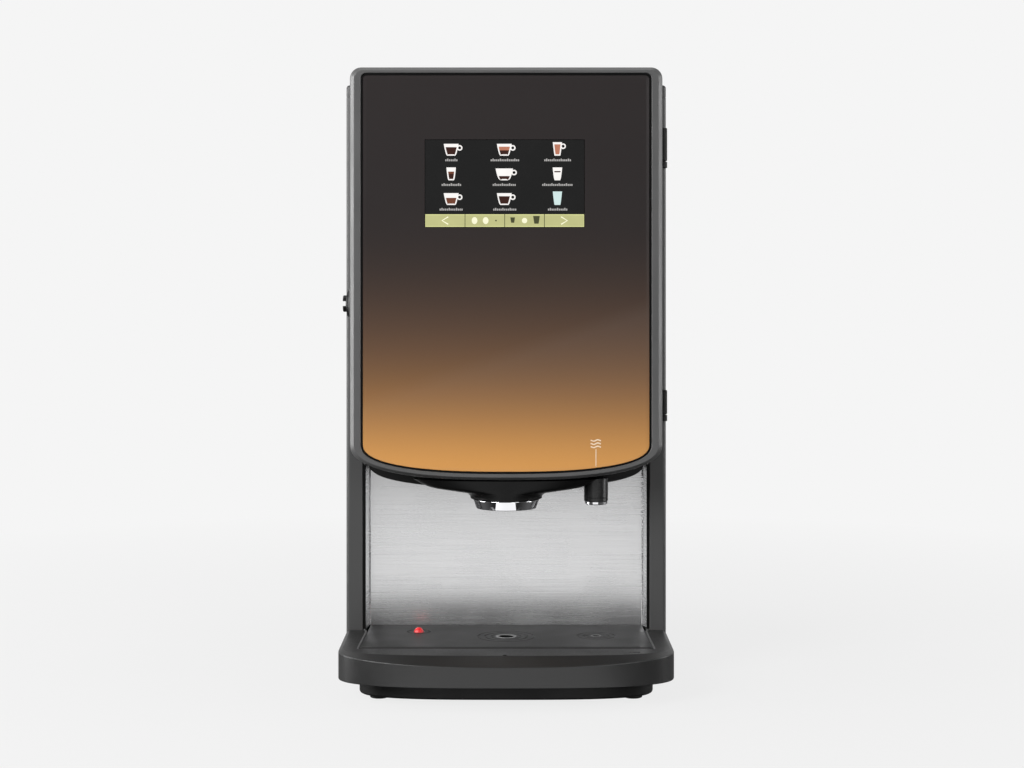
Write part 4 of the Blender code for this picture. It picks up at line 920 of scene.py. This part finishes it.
def stroke(bm, path, width, y, thickness=0.06):
    """A thin line of even width along an open (x, z) path."""
    left, right = [], []
    for i, (x, z) in enumerate(path):
        before, after = path[max(i - 1, 0)], path[min(i + 1, len(path) - 1)]
        run, rise = after[0] - before[0], after[1] - before[1]
        length = hypot(run, rise)
        across = (-rise / length * width / 2, run / length * width / 2)
        left.append((x + across[0], z + across[1]))
        right.append((x - across[0], z - across[1]))
    flat_shape(bm, left + right[::-1], y, thickness)


def panel_marks():
    """Hot water sign above its tap: three small waves and a thin line."""
    bm = bmesh.new()
    x, z = WATER_X - 1.9, 240.2
    for row in (-3.1, 0.0, 3.1):
        wave = [(x + u, z + row + 0.07 * u + 0.55 * sin(u * 0.9)) for u in [-5 + 0.5 * i for i in range(21)]]
        stroke(bm, wave, 1.15, PANEL_FRONT)
    stroke(bm, [(x + 0.2, 218.2), (x + 0.2, 235.0)], 0.7, PANEL_FRONT)
    piece("hot_water_sign", bm, "door", PRINT)


def touch_display():
    """Display module: glass with a softened edge in front and the housing behind the panel."""
    front = GLASS_FRONT

    def ring(extra, y, corner):
        half_x, half_z = DISPLAY_HALF_X + extra, DISPLAY_HALF_Z + extra
        outline = rounded_rectangle(half_x, DISPLAY_Z - half_z, DISPLAY_Z + half_z, corner)
        return [(x + DISPLAY_X, y, z) for x, z in outline]

    back = front + 3.3
    rings = [ring(-0.3, front, 0.8), ring(0, front + 0.3, 1.0), ring(0, back, 1.0), ring(8, back, 3.0)]
    rings += [ring(8, back + 9, 3.0), ring(4, back + 12, 2.0)]
    piece("touch_display", loft(rings), "door", GLASS)


def cup_outline(shape, inset=0.0, low=0.0, high=1.0):
    """Cup side view between two heights (0 base, 1 rim); shape is (rim half, base half, height, bulge)."""
    rim, base, height, bulge = shape
    right = []
    steps = 10
    for i in range(steps + 1):
        t = low + (high - low) * i / steps
        right.append((base + (rim - base) * t ** bulge - inset, height * t))
    if low == 0.0:
        right[0] = (max(base - inset, 0.6), inset)
    return right + [(-u, v) for u, v in reversed(right)]


CUP = (7.2, 4.0, 11.4, 0.62)
WIDE_CUP = (8.4, 3.4, 11.4, 0.42)
GLASS_CUP = (4.6, 2.6, 12.4, 0.55)
MUG = (4.5, 2.8, 13.0, 0.8)


def display_icons():
    """Nine drink icons, their caption bars and the key bar along the bottom of the screen."""
    layers = {name: bmesh.new() for name in ("white", "dark", "brown", "tan", "aqua", "caption")}
    front = GLASS_FRONT

    def handle(x, z, radius):
        ring = [(radius, 0.0), (radius, 0.06), (radius - 1.25, 0.06), (radius - 1.25, 0.0)]
        lathe(ring, (x, front, z), (0, -1, 0), layers["white"], SMALL_ROUND, closed=True)

    def icon(column, row, shape, fills, has_handle, caption, body="white"):
        x, z = DISPLAY_X - 0.4 + 51.3 * column, DISPLAY_Z + 26.8 - 23.8 * row
        outline = [(x + u, z + v) for u, v in cup_outline(shape)]
        flat_shape(layers[body], outline, front)
        for layer, low, high in fills:
            inner = [(x + u, z + v) for u, v in cup_outline(shape, 1.25, low, high)]
            flat_shape(layers[layer], inner, front - 0.08)
        if has_handle:
            handle(x + shape[0] + 1.0, z + shape[2] - 3.9, 2.7)
        for k in range(int(caption / 1.75)):
            left = x + 0.8 - caption / 2 + 1.75 * k
            tall = 2.5 if k % 4 == 1 else 1.8
            rectangle(layers["caption"], (left, left + 1.25), (z - 5.4, z - 5.4 + tall), front)

    icon(-1, 0, CUP, [("dark", 0.0, 0.72)], True, 13)
    icon(0, 0, CUP, [("dark", 0.0, 0.45), ("tan", 0.45, 0.76)], True, 28)
    icon(1, 0, MUG, [("tan", 0.0, 0.84)], True, 27)
    icon(-1, 1, GLASS_CUP, [("dark", 0.0, 0.5), ("brown", 0.5, 0.68)], False, 20)
    icon(0, 1, WIDE_CUP, [("dark", 0.0, 0.36)], True, 24)
    icon(1, 1, GLASS_CUP, [("dark", 0.62, 0.72)], False, 31)
    icon(-1, 2, CUP, [("brown", 0.0, 0.6)], True, 24)
    icon(0, 2, CUP, [("dark", 0.0, 0.74)], True, 23)
    icon(1, 2, MUG, [("aqua", 0.0, 0.9)], False, 20, "aqua")
    tones = {
        "white": (250, 247, 244),
        "dark": (58, 32, 26),
        "brown": (112, 66, 48),
        "tan": (186, 122, 98),
        "aqua": (206, 228, 226),
        "caption": (172, 170, 168),
    }
    for name, bm in layers.items():
        look = glowing(f"screen_{name}", linear(*tones[name]))
        piece(f"icons_{name}", bm, "door", look)


def key_bar():
    """Olive key bar: arrows, bean strength marks and cup size marks."""
    front = GLASS_FRONT
    low, high = DISPLAY_Z - DISPLAY_HALF_Z + 0.2, DISPLAY_Z - DISPLAY_HALF_Z + 12.4
    left, right = DISPLAY_X - DISPLAY_HALF_X + 0.3, DISPLAY_X + DISPLAY_HALF_X - 0.3
    middle = (low + high) / 2
    width = (right - left) / 4
    rim, keys, cream, ink = bmesh.new(), bmesh.new(), bmesh.new(), bmesh.new()
    rectangle(rim, (left, right), (low, high), front)
    for i in range(4):
        start = left + width * i
        rectangle(keys, (start + 0.45, start + width - 0.45), (low + 0.9, high - 0.9), front - 0.08)
    for x, way in ((left + width * 0.5, -1), (right - width * 0.5, 1)):
        path = [(x - 3 * way, middle + 3.6), (x + 3 * way, middle), (x - 3 * way, middle - 3.6)]
        stroke(cream, path, 1.2, front - 0.16)
    for x in (left + width * 1.24, left + width * 1.52):
        flat_shape(cream, circle((x, middle), 2.755, 3.4), front - 0.16)
    flat_shape(ink, circle((left + width * 1.78, middle), 0.8), front - 0.16)
    flat_shape(cream, circle((left + width * 2.5, middle), 2.6), front - 0.16)
    for x, scale in ((left + width * 2.2, 0.5), (left + width * 2.8, 0.72)):
        outline = [(x + u * scale, middle - 4.2 * scale + v * scale * 0.8) for u, v in cup_outline(MUG)]
        flat_shape(ink, outline, front - 0.16)
    for i in (1, 2, 3):
        x = left + width * i
        rectangle(ink, (x - 0.35, x + 0.35), (low, high), front - 0.12)
    looks = {
        "key_bar_rim": (rim, (214, 216, 150)),
        "key_bar_keys": (keys, (190, 190, 134)),
        "key_bar_signs": (cream, (250, 248, 214)),
        "key_bar_ink": (ink, (74, 76, 50)),
    }
    for name, (bm, tone) in looks.items():
        piece(name, bm, "door", glowing(name, linear(*tone)))


def door_liner():
    """Sheet behind the door with two pressed ribs, its screws and the notch for the lock cam."""
    half = DOOR_HALF_BACK - 3.6
    size = (half, DOOR_TOP - 3.6, DOOR_BOTTOM + 3.6, 8.0)
    faces = [door_outline(*size, DOOR_BACK - depth) for depth in (2.5, 1.0)]
    notch = block((-half - 2, -143.0), (-101, -95), (346.0, 384.0), edge=0)
    bm = carved(loft(faces), notch)
    piece("door_liner", bm, "door", ZINC, edge=0.2)
    ribs = bmesh.new()
    for x in (-70, 70):
        points = circle((x, 400), 7, steps=32, offset=0.5)
        outline = [(u, v + (130 if v > 400 else -130)) for u, v in points]
        inner = [(x + (u - x) * 0.6, 400 + (v - 400) * 0.975) for u, v in outline]
        levels = ((outline, DOOR_BACK - 1.2), (inner, DOOR_BACK - 0.3))
        loft([[(u, y, v) for u, v in points] for points, y in levels], ribs)
    piece("liner_ribs", ribs, "door", ZINC)
    places = [(x, DOOR_BACK - 1.4, z) for x in (-138, 138) for z in (250, 440, 588)]
    piece("liner_screws", screw_heads(places, (0, 1, 0), radius=2.6), "door", STEEL)


def lock():
    """Cam lock on the side of the door: rosette, slotted barrel and the cam inside."""
    y, z = LOCK_Y, LOCK_Z
    out = extent("lock_barrel")[0].x
    face = -out - 154.9
    profile = [(0, 0), (13.2, 0), (13.2, 1.2), (12.2, 2.1), (8.2, 2.1)]
    profile += [(8.2, face - 0.5), (7.6, face), (0, face)]
    bm = lathe(profile, (-154.9, y, z), (-1, 0, 0))
    slot = block((out - 1, out + 3.0), (y - 12, y + 12), (z - 2.4, z + 2.4), edge=0)
    bm = carved(bm, slot)
    rod((-155.5, y, z), (-149.0, y, z), 9.0, bm)
    block((-149.6, -147.6), (y - 5, y + 5), (z - 32, z + 6.5), bm)
    rod((-148.0, y, z), (-145.4, y, z), 4.5, bm, steps=6)
    piece("lock_barrel", bm, "door_lock", LOCK_METAL)


def hinges():
    for name, (z0, z1) in HINGES.items():
        bm = rod((HINGE_X, HINGE_Y, z0), (HINGE_X, HINGE_Y, z1), 4.0, edge=0.7)
        rod((HINGE_X, HINGE_Y, z0 - 6.6), (HINGE_X, HINGE_Y, z0 + 3), 1.5, bm, edge=0.2)
        block((145.2, 156.4), (-93.1, -92.0), (z0 + 0.4, z1 + 6), bm, edge=0.2)
        block((154.4, 157.4), (-94.5, -91.6), (z0 + 1, z1 - 1), bm, edge=0.2)
        piece(name, bm, "cabinet", HINGE_METAL)


# ---- canisters, dosing and mixing

def canister_section(wall, top, low_steps=12):
    half, trough = CANISTER_HALF - wall, 19.0 - wall
    right = [(trough * sin(radians(a)), AUGER_Z - trough * cos(radians(a))) for a in
             [80 * i / low_steps for i in range(low_steps + 1)]]
    right += [(half, 455.0), (half, top)]
    return mirrored(right)


def canister(lane, x, fill_top, fill_look):
    y0, y1 = CANISTER_FRONT, CANISTER_BACK
    outer, inner = canister_section(0.0, CANISTER_TOP), canister_section(2.0, CANISTER_TOP + 5)
    body = loft([[(x + u, y, v) for u, v in outer] for y in (y0, y1)])
    collar = rod_y(x, AUGER_Z, (y0 - 14, y0 + 1), 17.8)
    hopper = loft([[(x + u, y, v) for u, v in inner] for y in (y0 + 2, y1 - 2)])
    mouth = rod_y(x, AUGER_Z, (y0 - 16, y0 + 4), 15.4, edge=0.01)
    shaft = rod_y(x, AUGER_Z, (y1 - 4, y1 + 2), 4.6, edge=0.01)
    body = carved(boolean("UNION", body, [collar]), hopper, mouth, shaft)
    piece(f"canister_body_{lane}", body, f"canister_{lane}", CLEAR, edge=0.3)
    heap = canister_section(2.6, fill_top)
    bm = loft([[(x + u, y, v) for u, v in heap] for y in (y0 + 2.6, y1 - 2.6)])
    hollow = rod_y(x, AUGER_Z, (y0, y1), 15.0, edge=0.01)
    piece(f"powder_{lane}", carved(bm, hollow), f"canister_{lane}", fill_look)


def canister_lid(lane, x):
    y0, y1, top = CANISTER_FRONT, CANISTER_BACK, CANISTER_TOP

    def ring(extra, z):
        outline = rounded_rectangle(CANISTER_HALF + extra, y0 - extra, y1 + extra, 3.0)
        return [(x + u, y, z) for u, y in outline]

    rings = [ring(-2.6, top - 5), ring(-2.6, top + 0.3), ring(0.8, top + 0.3), ring(0.8, top + 2.4)]
    rings += [ring(0.5, top + 3.2), ring(-0.4, top + 3.6), ring(-4, top + 3.6)]
    rings += [ring(-5, top + 3.0), ring(-8, top + 3.0)]
    bm = loft(rings)
    block((x - 22, x + 22), (40, 50), (top + 2, top + 9), bm, edge=1.5)
    piece(f"canister_lid_{lane}", bm, f"lid_{lane}", BLACK)


def screw(lane, x):
    """Dosing screw with a smooth helical blade."""
    shaft, blade, turns, steps = 4.2, 14.2, 4, 160
    first, last = -51.0, 134.0
    bm = rod_y(x, AUGER_Z, (-54, 146.5), shaft)
    right = [(shaft - 0.5, 1.0), (blade - 0.4, 0.7), (blade, 0.2)]
    section = [(r, -dy) for r, dy in right] + right[::-1]
    rings = []
    for i in range(steps + 1):
        y, a = first + (last - first) * i / steps, 2 * pi * turns * i / steps
        rings.append([(x + r * cos(a), y + dy, AUGER_Z + r * sin(a)) for r, dy in section])
    loft(rings, bm)
    piece(f"auger_{lane}", bm, f"dosing_screw_{lane}", MILKY)


def canister_outlet(lane, x):
    y = -64.0
    elbow = rod_y(x, AUGER_Z, (-78, -43.6), 20.4, edge=1.2, steps=ROUND)
    chute = rod((x, y, 388), (x, y, AUGER_Z), 12.0, edge=0.4)
    bore = rod_y(x, AUGER_Z, (-75.6, -42), 18.1, edge=0.01)
    drop = rod((x, y, 386), (x, y, AUGER_Z), 9.8, edge=0.01)
    bm = carved(boolean("UNION", elbow, [chute]), bore, drop)
    piece(f"canister_outlet_{lane}", bm, f"outlet_{lane}", OUTLET_RED)


def canister_motor(lane, x):
    y = 149.8
    bm = block((x - 23, x + 23), (y, y + 24), (402, 446), edge=1.0)
    rod_y(x, 424, (y + 20, y + 52), 17.0, bm, edge=1.2, steps=ROUND)
    rod_y(x, 424, (y + 52, y + 53.2), 5.0, bm, edge=0.3)
    rod_y(x, AUGER_Z, (y - 1.0, y + 5), 7.0, bm)
    rod_y(x, AUGER_Z, (138, y + 5), 2.1, bm, edge=0.3)
    piece(f"canister_motor_{lane}", bm, "cabinet", MOTOR)


def mixer_bowl(lane, x):
    """Whipping bowl: funnel, round whipper chamber and the drink nozzle below."""
    y, z = BOWL_Y, WHIPPER_Z
    funnel = [(12.1, 15.4), (13.4, 15.4), (16.4, 19.5), (33.2, 58), (34.6, 58), (34.6, 59.5), (32.4, 59.5)]
    funnel += [(32.4, 57), (15.0, 19.8), (12.1, 16.6)]
    bm = lathe(funnel, (x, y, z), closed=True)
    chamber = rod_y(x, z, (y - 20, y + 20), 21.0, edge=1.5, steps=ROUND)
    inside = rod_y(x, z, (y - 17.6, y + 17.6), 18.6, edge=0.5, steps=ROUND)
    shaft = rod_y(x, z, (y + 15, y + 24), 3.6, edge=0.01)
    throat = rod((x, y, z), (x, y, z + 24), 12.0, edge=0.01)
    nozzle = rod((x, y - 10, 290), (x, y - 10, z - 12), 6.4)
    bore = rod((x, y - 10, 288), (x, y - 10, z), 4.2, edge=0.01)
    case = carved(boolean("UNION", chamber, [nozzle]), inside, shaft, throat, bore)
    bm.from_mesh(as_mesh(case))
    piece(f"mixer_bowl_{lane}", bm, "cabinet", MILKY)


def impeller(lane, x):
    y, z = BOWL_Y, WHIPPER_Z
    bm = rod_y(x, z, (y - 12, -24), 3.2)
    block((x - 14, x + 14), (y - 11, y + 8), (z - 1.0, z + 1.0), bm, edge=0.5)
    block((x - 1.0, x + 1.0), (y - 10.5, y + 7.5), (z - 14, z + 14), bm, edge=0.5)
    piece(f"impeller_{lane}", bm, f"whipper_{lane}", MILKY)


def mixer_motor(lane, x):
    y, z = -16.2, WHIPPER_Z
    bm = rod_y(x, z, (y, y + 52), 17.5, edge=1.6, steps=ROUND)
    rod_y(x, z, (y + 52, y + 53), 4.5, bm, edge=0.3)
    rod_y(x, z, (y - 1, y + 4), 5.0, bm)
    rod_y(x, z, (-30, y + 4), 1.6, bm, edge=0.2)
    piece(f"mixer_motor_{lane}", bm, "cabinet", MOTOR)


def drink_hose(lane, x):
    """Smooth hose from the mixer nozzle to the serving head."""
    end_x = x * 20.0 / 102.0
    path = [(x, -70.0, 289.6)]
    for i in range(17):
        t = i / 16
        ease = t * t * (3 - 2 * t)
        path.append((x + (end_x - x) * ease, -70.0 - 12.0 * ease, 284.0 - 40.0 * t))
    path += [(end_x, -82.0, 236.0), (end_x, -82.0, 222.0)]
    curve = bpy.data.curves.new("temporary", "CURVE")
    curve.dimensions = "3D"
    curve.bevel_depth = 5.4 * MM
    curve.bevel_resolution = 6
    curve.use_fill_caps = True
    spline = curve.splines.new("POLY")
    spline.points.add(len(path) - 1)
    for point, place in zip(spline.points, path):
        point.co = (*(Vector(place) * MM), 1.0)
    bm = evaluated(linked("temporary", curve))
    clip = [(5.5, -2), (6.3, -2), (6.3, 2), (5.5, 2)]
    lathe(clip, (x, -70.0, 287.0), bm=bm, steps=SMALL_ROUND, closed=True)
    piece(f"drink_hose_{lane}", bm, "cabinet", HOSE)


# ---- water, air and power

def boiler():
    low, high = extent("boiler_tank")
    radius = (high.x - low.x) / 2
    middle = ((low.x + high.x) / 2, (low.y + high.y) / 2, 0)
    top = high.z
    profile = [(radius, top)] + arc((radius - 3, 8.8), 3, 0, -90, 4) + [(0, 5.8)]
    inside = [(0, 8), (radius - 4, 8), (radius - 2, 10), (radius - 2, top), (radius, top)]
    tank = lathe(profile, middle)
    lathe(inside, middle, bm=tank)
    bmesh.ops.remove_doubles(tank, verts=tank.verts, dist=0.001 * MM)
    piece("boiler_tank", tank, "cabinet", BOILER)
    x, y, lid = middle[0], middle[1], top + 0.3
    bm = rod((x, y, lid), (x, y, lid + 5), radius + 2, edge=0.8, steps=ROUND)
    for leg_x in (x - 20, x + 20):
        rod((leg_x, y, 30), (leg_x, y, lid + 14), 3.5, bm)
        rod((leg_x, y, lid + 5), (leg_x, y, lid + 8), 6.5, bm, steps=6)
    rod((x - 22, y, 31), (x + 22, y, 31), 3.4, bm)
    piece("boiler_heater", bm, "cabinet", BOILER)


def inlet_valve():
    x, z = 95.0, 75.0
    bm = block((x - 17, x + 17), (196, 226), (z - 20, z + 26), edge=1.2)
    thread = [(0, 12), (6.5, 12), (6.5, 27.2), (9.2, 27.5)]
    thread += [(10.0 if k % 2 else 9.2, 27.0 - 0.9 * k) for k in range(1, 18)]
    thread += [(9.4, 5.8), (9.4, 4), (0, 4)]
    lathe(thread, (x, 220, z), (0, 1, 0), bm)
    rod((x, 211, z + 20), (x, 211, z + 44), 11.0, bm, edge=1.0)
    piece("inlet_valve", bm, "cabinet", VALVE)


def control_board():
    bm = block((149.0, 150.8), (10, 140), (100, 200), edge=0.2)
    for y, z in ((16, 106), (16, 194), (134, 106), (134, 194)):
        rod((150.0, y, z), (158.1, y, z), 3.0, bm, edge=0.3, steps=6)
    piece("control_board", bm, "cabinet", BOARD)
    parts = block((136.0, 149.5), (25, 55), (110, 150), edge=0.8)
    for y in range(72, 130, 8):
        block((141.0, 149.5), (y, y + 7), (108, 118), parts, edge=0.5)
    block((146.0, 149.5), (80, 104), (150, 174), parts, edge=0.3)
    for z in (160, 172, 184):
        rod((149.5, 34, z), (141.0, 34, z), 4.0, parts, edge=0.4)
    piece("board_components", parts, "cabinet", BLACK)


def power_inlet():
    x, z = INLET_X, INLET_Z
    rear = BODY_REAR + 0.3
    bm = block((x - 25, x + 25), (rear, 247.5), (z - 32, z + 32), edge=0.6)
    bm = boolean("UNION", bm, [block((x - 22, x + 22), (224, 246.5), (z - 29, z + 29), edge=0)])
    socket = block((x - 12, x + 12), (230, 250), (z - 24, z - 6), edge=0)
    rocker_z = z + 16
    bay = block((x - 11.5, x + 11.5), (232, 250), (rocker_z - 14.5, rocker_z + 12), edge=0)
    bm = carved(bm, socket, bay)
    piece("power_inlet", bm, "cabinet", BLACK)
    pins = bmesh.new()
    for dx, dz in ((-7, -17), (7, -17), (0, -12)):
        block((x + dx - 1, x + dx + 1), (228, 242), (z + dz - 2, z + dz + 2), pins, edge=0.3)
    piece("inlet_pins", pins, "cabinet", STEEL)


def power_switch():
    x, y, z = INLET_X, 242.0, INLET_Z + 16 - 1.2
    section = [(y - 3.5, z - 5), (y - 3.5, z + 5), (y + 0.5, z + 11), (y + 3.0, z + 11.1)]
    section.append((y + 3.6, z + 10.6))
    section += [(y + 1.8 + 1.8 * (abs(t) / 10) ** 2, z + t) for t in range(8, -9, -2)]
    section += [(y + 3.6, z - 10.6), (y + 3.0, z - 11.1), (y + 0.5, z - 11)]
    bm = loft([[(px, py, pz) for py, pz in section] for px in (x - 10, x + 10)])
    piece("power_switch", bm, "mains_rocker", OUTLET_RED, edge=0.4)


def fan():
    x, z = FAN_X, FAN_Z
    rear = BODY_REAR - 1.8
    outline = rounded_rectangle(40, z - 40, z + 40, 5)
    housing = loft([[(px + x, y, pz) for px, pz in outline] for y in (rear - 25, rear)])
    duct = rod_y(x, z, (rear - 30, rear + 4), 37.5, edge=0.01, steps=96)
    bm = carved(housing, duct)
    block((x - 39, x + 39), (rear - 3.1, rear - 0.2), (z - 3, z + 3), bm, edge=0.5)
    block((x - 3, x + 3), (rear - 3.0, rear - 0.3), (z - 39, z + 39), bm, edge=0.5)
    rod_y(x, z, (rear - 3.3, rear - 0.4), 13.0, bm)
    piece("fan_housing", bm, "cabinet", FAN)
    rotor = rod_y(x, z, (rear - 22, rear - 6), 14.0, edge=1.0)
    blade = ((-21, 0.0), (-20, 0.02), (-7, 0.42), (-6.5, 0.38))
    for k in range(7):
        rings = []
        for i in range(7):
            radius, twist = 13 + 22.5 * i / 6, 2 * pi * k / 7 + 0.3 * i / 6
            rings.append([(x + radius * cos(twist + sweep), rear + dy, z + radius * sin(twist + sweep))
                          for dy, sweep in blade])
        loft(rings, rotor)
    piece("fan_rotor", rotor, "fan", FAN)


def chassis():
    """The folded chassis keeps its CAD shape, with softened edges and zinc flakes."""
    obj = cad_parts["inner_frame"]
    obj.data.materials.clear()
    obj.data.materials.append(ZINC)
    soften(obj, 0.3)
    flatten(obj)


# ---- stage, light and camera

def plane(name, xs, ys, zs, look):
    """A stage rectangle from its lower left to its upper right corner, flat in Z or upright in Y."""
    low, high = (ys[0], zs[0]), (ys[1], zs[1])
    corners = [(xs[0], *low), (xs[1], *low), (xs[1], *high), (xs[0], *high)]
    mesh = bpy.data.meshes.new(name)
    mesh.from_pydata(corners, [], [range(4)])
    mesh.materials.append(look)
    obj = linked(name, mesh)
    return obj


def floor():
    """Pale floor with a soft contact shadow, fading into the plain backdrop further out."""
    look = Nodes("pale_floor")
    tone = look.mix(grey(188), grey(194), look.spread(look.noise(400.0), 0, 1))
    look.set(Base_Color=tone, Roughness=0.9, Specular_IOR_Level=0.0)
    glow = look.add("ShaderNodeEmission", [grey(245)]).outputs["Emission"]
    distance = look.add("ShaderNodeVectorMath", [look.place], operation="LENGTH").outputs["Value"]
    fade = look.spread(distance, 0.88, 1.0, 0.35, 1.3)
    look.show(fade, look.shader.outputs["BSDF"], glow, "Material Output")
    obj = plane("floor", (-30.0, 30.0), (-30.0, 30.0), (0, 0), look.mat)
    obj.visible_glossy = False
    obj.visible_diffuse = False
    obj.visible_shadow = False


def backdrop():
    """White to the camera; in reflections white behind the machine, dim in front, below and high above."""
    look = Nodes("studio", bpy.data.worlds, "Background", "Generated")
    bpy.context.scene.world = look.mat
    direction = look.split()
    behind = look.spread(direction["Y"], 0.2, 0.8, -0.45, 0.1)
    ground = look.spread(direction["Z"], 0.15, 1.0, -0.2, 0.0)
    overhead = look.spread(direction["Z"], 1.0, 0.3, 0.55, 0.9)
    look.set(Color=grey(245))
    room = look.add("ShaderNodeBackground")
    strength = look.maths("MULTIPLY", look.maths("MULTIPLY", behind, ground), overhead)
    look.feed(strength, room.inputs["Strength"])
    seen = look.add("ShaderNodeLightPath").outputs["Is Camera Ray"]
    look.show(seen, room.outputs["Background"], look.shader.outputs["Background"], "World Output")


def softbox(name, place, aim, width, height, watts):
    light = bpy.data.lights.new(name, "AREA")
    light.shape = "RECTANGLE"
    light.size = width
    light.size_y = height
    light.energy = watts
    obj = linked(name, light)
    obj.location = place
    obj.rotation_euler = (Vector(aim) - Vector(place)).to_track_quat("-Z", "Y").to_euler()
    obj.visible_camera = False


def reflected_card(name, xs, ys, zs, strength):
    """A white card that is only seen in glossy reflections, like the pale room around a studio set."""
    look = Nodes(name)
    look.set(Base_Color=grey(0), Emission_Color=grey(255), Emission_Strength=strength)
    card = plane(name, xs, ys, zs, look.mat)
    card.visible_camera = False
    card.visible_diffuse = False
    card.visible_shadow = False


def lights():
    softbox("key", (-1.5, -1.9, 1.3), (0, -0.1, 0.3), 1.2, 1.2, 60)
    softbox("left_edge", (-1.8, -0.15, 0.6), (0, -0.1, 0.4), 0.7, 1.3, 25)
    softbox("right_edge", (1.9, -0.2, 0.6), (0, -0.1, 0.4), 0.6, 1.2, 13)
    softbox("fill", (1.3, -2.3, 0.9), (0, 0, 0.3), 1.2, 1.2, 15)
    softbox("top", (0, 0.3, 2.2), (0, 0.1, 0.3), 1.6, 1.0, 6)
    reflected_card("niche_card", (-0.36, 0.3), (-0.75, -0.75), (-0.32, 0.14), 1.05)
    reflected_card("floor_card", (-0.14, 0.13), (-0.9, -0.25), (0.001, 0.001), 1.1)


def camera():
    """Level camera with a long lens; the horizon sits above the middle of the frame."""
    data = bpy.data.cameras.new("camera")
    obj = linked("camera", data)
    bpy.context.scene.camera = obj
    data.sensor_width = 36.0
    data.lens = 70.3
    data.shift_x = 0.0057
    data.shift_y = -0.1064
    obj.location = (0.0, -2.095, 0.403)
    obj.rotation_euler = (radians(90), 0, 0)


# ---- build

def build():
    side_panel(-1, "left_side_panel")
    side_panel(1, "right_side_panel")
    for make in (top_cover, rear_panel, base_pan, feet, splash_plate, dispense_head, spout_ring,
                 hot_water_tap, drip_tray, drip_grille, tray_float, fascia_frame, front_panel,
                 panel_marks, touch_display, display_icons, key_bar, door_liner, lock, hinges):
        make()
    powders = {
        1: (520.0, powder("milk_powder", (0.78, 0.72, 0.6))),
        2: (535.0, powder("coffee_powder", (0.09, 0.035, 0.015))),
        3: (505.0, powder("cocoa_powder", (0.2, 0.09, 0.045))),
    }
    for lane, x in LANES.items():
        canister(lane, x, *powders[lane])
        for make in (canister_lid, screw, canister_outlet, canister_motor, mixer_bowl, impeller,
                     mixer_motor, drink_hose):
            make(lane, x)
    for make in (boiler, inlet_valve, control_board, power_inlet, power_switch, fan, chassis):
        make()


build()
floor()
backdrop()
lights()
camera()
bpy.context.scene.view_settings.view_transform = "Standard"
